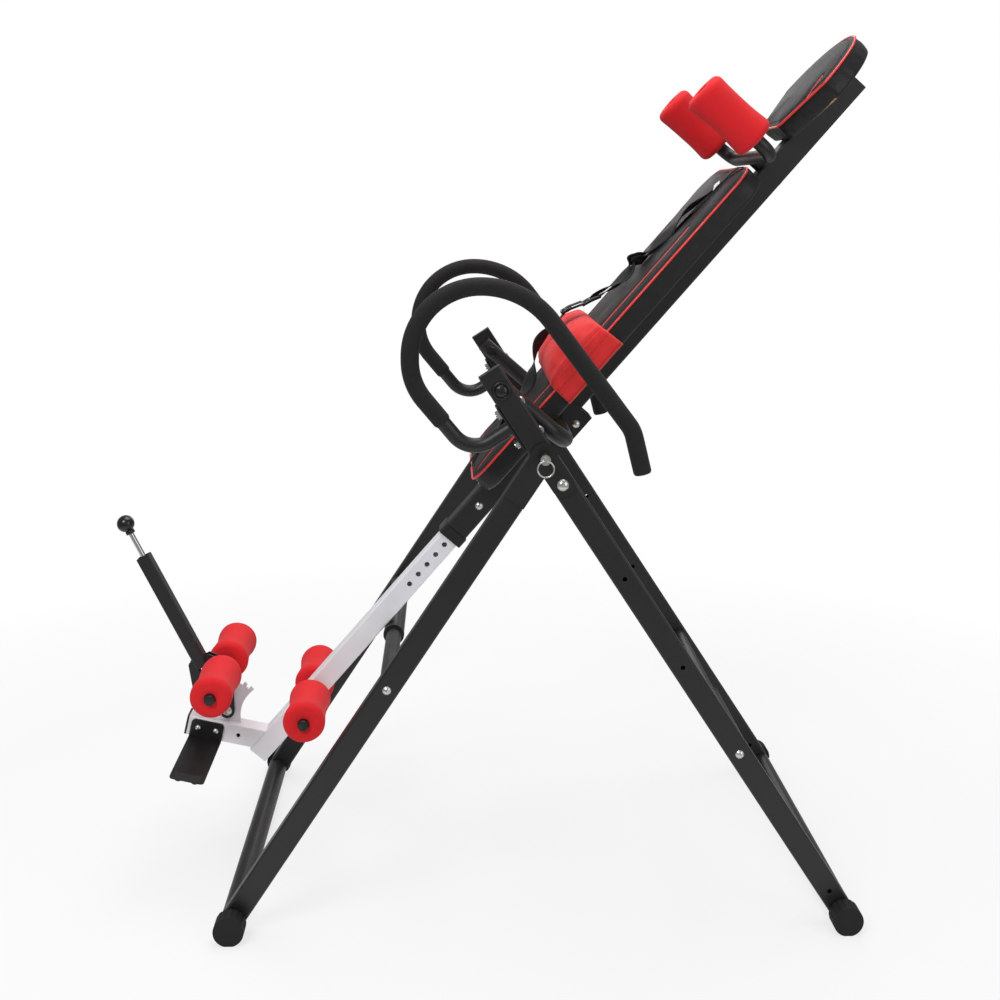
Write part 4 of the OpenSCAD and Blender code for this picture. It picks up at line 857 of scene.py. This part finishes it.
# lower strap, from the slide over the pillow to behind the pad's lower edge
lower = [(FIT_X + 0.0005, 0.0, FIT_Z + 0.0005), (FIT_X - 0.008, 0.0, FIT_Z + 0.0010),
         (0.146, 0.0, FIT_Z + 0.0005), (0.124, -0.001, FACE + 0.0520), (0.103, -0.002, FACE + 0.0535),
         (0.086, -0.002, FACE + 0.0515), (0.070, -0.002, FACE + 0.0440), (0.054, -0.002, FACE + 0.0325),
         (0.040, -0.003, FACE + 0.0240), (0.022, -0.003, FACE + 0.0155), (0.002, -0.004, FACE + 0.0110),
         (-0.026, -0.006, ON_FACE + 0.0060), (-0.060, -0.006, ON_FACE + 0.0026),
         (-0.090, -0.004, ON_FACE + 0.0006),
         (back_lo[0] + 0.020, 0.0, ON_FACE), (back_lo[0] + 0.001, 0.0, FACE - 0.003),
         (back_lo[0] - 0.0040, 0.0, FACE - 0.014), (back_lo[0] - 0.0030, 0.0, FACE - 0.032)]
lower_twist = [52 * bell(s, 0.27, 0.10) - 58 * bell(s, 0.53, 0.07) + 34 * bell(s, 0.68, 0.05) for s in ALONG]
strap_low = make("strap_short", *ribbon(curve(lower), STRAP_W, STRAP_T, lower_twist), "webbing", "bed")
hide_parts("lumbar_strap")

# blank white tag folded over the strap near the pad's top
tag_mid = Vector((0.512, strap_y(0.512), ON_FACE + 0.0034))
tag_dir = Vector((1, STRAP_OFF / (back_hi[0] - STRAP_BEND), 0)).normalized()
tag_line = in_bed([tag_mid + tag_dir * s + Vector((0, 0, 0.0006 * math.cos(s * 190)))
                   for s in np.linspace(-0.0085, 0.0085, 12)])
tag = make("strap_tag", *ribbon(tag_line, STRAP_W + 0.003, 0.0009), "tag", "bed")


RAIL_SIDES = 14


def bar(a, b, r):
    """A round bar with rounded ends, from a to b."""
    d = b - a
    n = max(2, int(d.length / 0.002))
    pts, rad = [], []
    for k in range(n + 1):
        t = k / n
        e = min(t, 1 - t) * d.length
        pts.append(a + d * t)
        rad.append(r * math.sqrt(max(0.02, 1 - max(0, 1 - e / r) ** 2)))
    return tube(pts, rad, RAIL_SIDES)


def ladder(name, x0, x1, z, h, slope, r):
    """Ladder buckle: two side rails and three crossbars, from x0 to x1 in the bed's frame."""
    parts = []
    mid = (x0 + x1) / 2

    def at(x, y, dz=0.0):
        return bed(x, y, z - slope * (x - mid) + dz)

    steps = np.linspace(0, 1, 18)
    for s in (-1, 1):
        rail = [at(x0 + (x1 - x0) * t, s * (h - 0.0012 * (2 * t - 1) ** 2), r / 2 * math.sin(math.pi * t))
                for t in steps]
        parts.append(tube(rail, [r * math.sqrt(max(0.15, 1 - (2 * t - 1) ** 8)) for t in steps], RAIL_SIDES))
    for x, k, dz in ((x0 + 0.0015, 0.9, -0.0005), (mid, 1.05, 0.0012), (x1 - 0.0015, 0.9, 0.0)):
        parts.append(bar(at(x, -h, dz), at(x, h, dz), r * k))
    return make(name, *merge(parts), "gloss_black", "bed")


RAIL_IN = 0.003  # from the CAD buckle's edges in to the middle of its rails
RAIL_Y = buckle_hi[1] - RAIL_IN
SLIDE_HALF = 0.010
strap_ladder = ladder("ladder_buckle", buckle_lo[0] + RAIL_IN, buckle_hi[0] - RAIL_IN, LADDER_Z, RAIL_Y,
                      slope=LADDER_SLOPE, r=0.0036)
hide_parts("strap_buckle")
strap_slide = ladder("strap_slide", FIT_X - SLIDE_HALF, FIT_X + SLIDE_HALF, FIT_Z + 0.0015, RAIL_Y,
                     slope=0.40, r=0.0030)


# ---- foam rollers
ROLLER_R = 0.038
ROLLER_HALF = 0.065
ROLLER_EDGE = 0.012  # radius of a roller's rounded edge
ROLLER_SIDES = 88
ANKLE_BORE, SHOULDER_BORE = 0.0102, 0.0127


def foam_roller(name, centre, axis, bore, body, seed, waist=0.0036):
    """One waisted foam roller, with a bore round its tube."""
    # (distance along, radius): bore, end face, rounded edge, waist, and the other end
    prof = [(-ROLLER_HALF + 0.0006, bore), (-ROLLER_HALF - 0.0002, bore + 0.0012)]
    flat = ROLLER_R - ROLLER_EDGE
    for k in range(5):
        prof.append((-ROLLER_HALF - 0.0008 * math.sin(math.pi * k / 5), bore + (flat - bore) * (k + 1) / 6))
    for k in range(9):
        a = math.pi / 2 * k / 8
        prof.append((-ROLLER_HALF + ROLLER_EDGE * (1 - math.cos(a)), flat + ROLLER_EDGE * math.sin(a)))
    end = len(prof)
    inner = ROLLER_HALF - ROLLER_EDGE
    for k in range(1, 24):
        z = -inner + 2 * inner * k / 24
        prof.append((z, ROLLER_R - waist * max(0.0, math.cos(math.pi / 2 * z / inner)) ** 1.2))
    prof += [(-z, r) for z, r in reversed(prof[:end])]
    verts = lathe(prof, centre, axis, ROLLER_SIDES, 0.0011, seed)[0]
    ob = make(name, verts, ring_faces(len(prof), ROLLER_SIDES, True), "red_foam", body)
    return ob


def centre_of(node):
    """Middle of a CAD node's box."""
    lo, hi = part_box(node)
    return (Vector(lo) + Vector(hi)) / 2


def ankle_rollers(prefix, node, body, seed):
    """The pair of rollers on one ankle axle."""
    mid = centre_of(node)
    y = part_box(node)[1][1] - ROLLER_HALF
    for side, tag in SIDES:
        c = Vector((mid.x, side * y, mid.z))
        foam_roller(prefix + "_" + tag, c, Y, ANKLE_BORE, body, seed + side)
    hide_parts(node)


ankle_rollers("ankle_roller_rear", "rear_ankle_rollers", "boom", 11)
ankle_rollers("ankle_roller_front", "front_ankle_rollers", "ankle_clamp", 23)
sh_lo, sh_hi = span("shoulder_rollers")
for side, tag in SIDES:
    c = bed((sh_lo[0] + sh_hi[0]) / 2, side * (sh_hi[1] - ROLLER_R), (sh_lo[2] + sh_hi[2]) / 2)
    foam_roller("shoulder_roller_" + tag, c, N, SHOULDER_BORE, "bed",
                            31 + side, waist=0.0022)
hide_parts("shoulder_rollers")

# black plugs in the open ends of the ankle axles: (distance out, radius)
PLUG = [(-0.012, 0.0070), (-0.001, 0.0076), (0.0, 0.0096), (0.0012, 0.0098), (0.0024, 0.0090),
        (0.0032, 0.0060), (0.0034, 0.0)]
for node, body, tag in (("rear_ankle_axle", "boom", "rear"), ("front_ankle_axle", "ankle_clamp", "front")):
    mid = centre_of(node)
    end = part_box(node)[1][1]
    for side, hand in SIDES:
        v, f = lathe(PLUG, Vector((mid.x, side * end, mid.z)), Y * side, 40)
        plug = make("axle_plug_%s_%s" % (tag, hand), v, f, "black_plastic", body, angle=40)


# ---- handlebars
FOOT_UP, FOOT_FRONT = 0.068, 0.023  # where the bar leaves the leg, from the crossing
STUB = 0.078  # its straight start, square to the leg
FRONT_X, ELBOW_Z, TOP_Z = -0.220, 0.120, 0.278  # its front upright and the height of its top
CROWN_X = -0.032  # where it turns down again
REAR_SLOPE, REAR = math.radians(53), 0.297  # slope and length of the run down from there
TIP_SLOPE, TIP = math.radians(76), 0.070  # and of its open end
BENDS = [0, 0.045, 0.100, 0.115, 0.144, 0.060, 0]  # radius at each corner
STEP = 0.004  # between points along the bar
BORE_R = 0.0108
FOAM_R = 0.0152
GRIP_GAP = 0.060  # from the first bend to the foam
MOUTH = 16  # points along the open end's bore
BAR_SIDES, GRIP_SIDES = 36, 44
bar_lo, bar_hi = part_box("handlebar_right")
BAR_Y = (bar_lo[1] + bar_hi[1]) / 2
BAR_R = (bar_hi[1] - bar_lo[1]) / 2


def handle_corners():
    """The handlebar's corners from the crossing, in the XZ plane."""
    up = Vector((-math.sin(LEAN), math.cos(LEAN)))
    front = Vector((-math.cos(LEAN), -math.sin(LEAN)))
    start = up * FOOT_UP + front * FOOT_FRONT
    bend = start + front * STUB
    crown = Vector((CROWN_X, TOP_Z))
    rear = crown + Vector((math.cos(REAR_SLOPE), -math.sin(REAR_SLOPE))) * REAR
    end = rear + Vector((math.cos(TIP_SLOPE), -math.sin(TIP_SLOPE))) * TIP
    return [start, bend, Vector((FRONT_X, ELBOW_Z)), Vector((FRONT_X, TOP_Z)), crown, rear, end]


def straight(a, b, count):
    """Points between a and b, without either."""
    return [a.lerp(b, j / count) for j in range(1, count)]


def rounded_route(pts, radii):
    """Points along an open route, its corners rounded to the radii."""
    out = [pts[0]]
    for i in range(1, len(pts) - 1):
        centre, arm, turn = corner_arc(pts[i - 1], pts[i], pts[i + 1], radii[i])
        out += straight(out[-1], centre + arm, int((centre + arm - out[-1]).length / STEP))
        out += swing(centre, arm, turn, max(6, int(abs(turn) * radii[i] / STEP)))
    return out + straight(out[-1], pts[-1], int((pts[-1] - out[-1]).length / STEP)) + [pts[-1]]


corners = handle_corners()
route = rounded_route(corners, BENDS)
arc = lengths(route)
first_bend = min(range(len(route)), key=lambda i: (route[i] - corners[1]).length)
GRIP_FROM = next(i for i, s in enumerate(arc) if s > arc[first_bend] + GRIP_GAP)


def handlebar(side, tag):
    """One hollow handlebar and the foam on it."""
    line = [Vector((CROSS.x + q.x, side * BAR_Y, CROSS.z + q.y)) for q in route]
    outer_v, outer_f = tube(line, BAR_R, BAR_SIDES, caps=False)
    inner_v, inner_f = tube(line[-MOUTH:], BORE_R, BAR_SIDES, caps=False)
    # the bore's faces look inwards, and a ring joins both tubes at the open end
    n = BAR_SIDES
    o = len(outer_v)
    faces = outer_f + [tuple(i + o for i in reversed(f)) for f in inner_f]
    last, bore = o - n, o + len(inner_v) - n
    shift = min(range(n), key=lambda s: (outer_v[last] - inner_v[s - n]).length)
    for k in range(n):
        k2 = (k + 1) % n
        faces.append((last + k, last + k2, bore + (k2 + shift) % n, bore + (k + shift) % n))
    faces += [tuple(reversed(range(n))), tuple(range(o, o + n))]
    tube_ob = make("handle_tube_" + tag, outer_v + inner_v, faces, "black_frame", "rear_frame", angle=50)
    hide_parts("handlebar_" + tag)
    # foam from the grip's start to just past the tube's end
    d_end = (line[-1] - line[-2]).normalized()
    grip = line[GRIP_FROM:] + [line[-1] + d_end * 0.0025, line[-1] + d_end * 0.005]
    rad = []
    for p in grip:
        s = min((p - grip[0]).length, (p - grip[-1]).length)
        soft = 0.00018 * noise.noise(p * 21 + Vector((side, 0, 0)))
        rad.append(FOAM_R - 0.0018 * (1 - min(1.0, s / 0.004)) ** 2 + soft)
    verts, faces = tube(grip, rad, GRIP_SIDES, caps=False)
    n = GRIP_SIDES
    # at both ends the foam closes in on the tube and goes a little way into its own bore
    d_start = (line[GRIP_FROM + 1] - line[GRIP_FROM]).normalized()
    for base, into in ((0, d_start * 0.004), (len(verts) - n, d_end * -0.008)):
        row = verts[base:base + n]
        centre = sum(row, Vector()) / n
        start = len(verts)
        lip = [centre + (v - centre).normalized() * (BAR_R + 0.0001) for v in row]
        verts += lip + [v + into for v in lip]
        for a, b in ((base, start), (start, start + n)):
            for k in range(n):
                k2 = (k + 1) % n
                q = (a + k, a + k2, b + k2, b + k)
                faces.append(tuple(reversed(q)) if base else q)
    foam_ob = make("grip_" + tag, verts, faces, "black_foam", "rear_frame", angle=60)
    weld(foam_ob, 0.00001)
    return foam_ob


grip_left = handlebar(-1, "left")
handlebar(1, "right")
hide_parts("grip_foams")


# ---- lever knob
knob_lo, knob_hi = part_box("lever_knob")
LEVER = Vector(JOINTS["release_lock"]["axis"]).normalized() * -1
ball_r = (knob_hi[1] - knob_lo[1]) / 2
ball = Vector((knob_lo[0] + ball_r, knob_lo[1] + ball_r, knob_hi[2] - ball_r))
# the collar under the ball, then the ball itself
prof = [(-ball_r - 0.0050, 0.0050), (-ball_r - 0.0050, 0.0079), (-ball_r - 0.0044, 0.0085),
        (-ball_r + 0.0004, 0.0085), (-ball_r + 0.0014, 0.0078)]
for k in range(30):
    a = math.pi * (0.155 + 0.845 * k / 29)
    prof.append((-ball_r * math.cos(a), ball_r * math.sin(a)))
knob = make("ball_knob", *lathe(prof, ball, LEVER, 64), "gloss_black", "release", angle=50)
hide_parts("lever_knob")


# ---- coil springs
TURN_STEPS = 24


def coil(name, node, axis, radius, wire, length, turns, body):
    """A coil spring about the middle of its CAD node; axis is a unit vector."""
    e1 = axis.orthogonal().normalized()
    e2 = axis.cross(e1)
    centre = centre_of(node)
    pts = []
    for k in range(turns * TURN_STEPS + 1):
        a = 2 * math.pi * k / TURN_STEPS
        along = axis * (k / (turns * TURN_STEPS) - 0.5) * length
        pts.append(centre + along + (e1 * math.cos(a) + e2 * math.sin(a)) * radius)
    ob = make(name, *tube(pts, wire, 8), "zinc", body)
    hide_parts(node)


sp_lo, sp_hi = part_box("boom_pin_spring")
END_IN = 0.0009  # from the CAD spring's surface in to the middle of the wire
coil("pin_coil", "boom_pin_spring", Y, radius=(sp_hi[2] - sp_lo[2]) / 2 - END_IN, wire=0.0008,
     length=sp_hi[1] - sp_lo[1] - 2 * END_IN, turns=5, body="bed")
coil("release_coil", "release_spring", LEVER, radius=0.0082, wire=0.0011, length=0.056, turns=12,
     body="ankle_clamp")


# ---- pivot heads
BOLT_HEAD = 0.005  # thickness of the CAD bolt's head, which the cap covers
# (distance out, radius) of the cap's rim, followed by its dome
CAP = [(0.0, 0.0150), (0.0022, 0.0152), (0.0034, 0.0146), (0.0038, 0.0132), (0.0030, 0.0116),
       (0.0026, 0.0108), (0.0034, 0.0104)]
for k in range(10):
    a = math.pi / 2 * k / 9
    CAP.append((0.0034 + 0.0048 * math.sin(a), 0.0104 * math.cos(a)))
for side, tag in SIDES:
    centre = Vector((PIVOT.x, side * (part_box("pivot_bolts")[1][1] - BOLT_HEAD), PIVOT.z))
    ob = make("pivot_cap_" + tag, *lathe(CAP, centre, Y * side, 56), "gloss_black", "rear_frame", angle=50)


# ---- studio
WHITE = (1, 1, 1, 1)
FLOOR = 6.0  # half the floor's width
FLOOR_Z = -0.0005


def area(name, loc, target, size, power, size_y):
    """A rectangular lamp at loc, aimed at target."""
    light = bpy.data.lights.new(name, "AREA")
    light.energy = power
    light.shape = "RECTANGLE"
    light.size = size
    light.size_y = size_y
    ob = placed(name, light)
    ob.location = loc
    ob.rotation_euler = (Vector(target) - Vector(loc)).to_track_quat("-Z", "Y").to_euler()


# white to the camera, but a weaker light on the object
world = bpy.data.worlds.new("studio")
scene.world = world
world.use_nodes = True
wt = world.node_tree
wt.nodes.clear()
sky = add(wt, "ShaderNodeOutputWorld")
lit = add(wt, "ShaderNodeBackground", Color=WHITE, Strength=0.30)
white = add(wt, "ShaderNodeBackground", Color=WHITE, Strength=1.0)
rays = add(wt, "ShaderNodeLightPath")
shown = blend(wt, rays.outputs["Is Camera Ray"], lit.outputs[0], white.outputs[0])
link(shown, sky.inputs["Surface"])

area("key", (-1.6, -2.6, 3.2), (0.1, 0, 0.9), 1.6, 62, 1.6)
area("fill", (2.4, -2.2, 1.6), (0.1, 0, 0.8), 1.8, 20, 2.2)
area("top", (0.2, 0.4, 3.6), (0.1, 0, 0.8), 2.4, 62, 2.4)
area("rim", (0.6, 2.8, 2.0), (0.1, 0, 0.9), 1.8, 14, 1.8)

floor_me = bpy.data.meshes.new("floor")
floor_me.from_pydata([(FLOOR * x, FLOOR * y, FLOOR_Z) for x, y in ((-1, -1), (1, -1), (1, 1), (-1, 1))], [],
                     [(0, 1, 2, 3)])
floor = placed("floor", floor_me)
ft, fb = nodes_of("floor_white")
fill(fb, {"Base Color": (0.88, 0.88, 0.88, 1), "Roughness": 0.9, "Specular IOR Level": 0.1})
# the camera sees the lit floor blended into pure white, and nothing of it beyond the fade
glow = add(ft, "ShaderNodeEmission", Color=WHITE, Strength=1.0)
clear = add(ft, "ShaderNodeBsdfTransparent")
seen = add(ft, "ShaderNodeLightPath")
spot = add(ft, "ShaderNodeTexCoord")
reach = add(ft, "ShaderNodeVectorMath", operation="LENGTH")
link(spot.outputs["Object"], reach.inputs[0])
share = add(ft, "ShaderNodeMath", operation="MULTIPLY")
share.inputs[1].default_value = 0.72
link(seen.outputs["Is Camera Ray"], share.inputs[0])
paper = blend(ft, share.outputs[0], fb.outputs[0], glow.outputs[0])
fade = blend(ft, ramp(ft, reach.outputs["Value"], 1.1, 2.0, 0.0, 1.0), paper, clear.outputs[0])
link(fade, ft.nodes["Material Output"].inputs["Surface"])
floor_me.materials.append(MATERIALS["floor_white"])

cam = bpy.data.cameras.new("camera")
cam.lens = 46.72
cam.sensor_width = 36
cam.clip_start = 0.05
cam.shift_y = -0.145
cam_ob = placed("camera", cam)
cam_ob.location = (-0.0685, -2.40, 1.2547)
cam_ob.rotation_euler = (math.radians(82.96), math.radians(-0.29), math.radians(-2.22))
scene.camera = cam_ob
scene.view_settings.view_transform = "Standard"
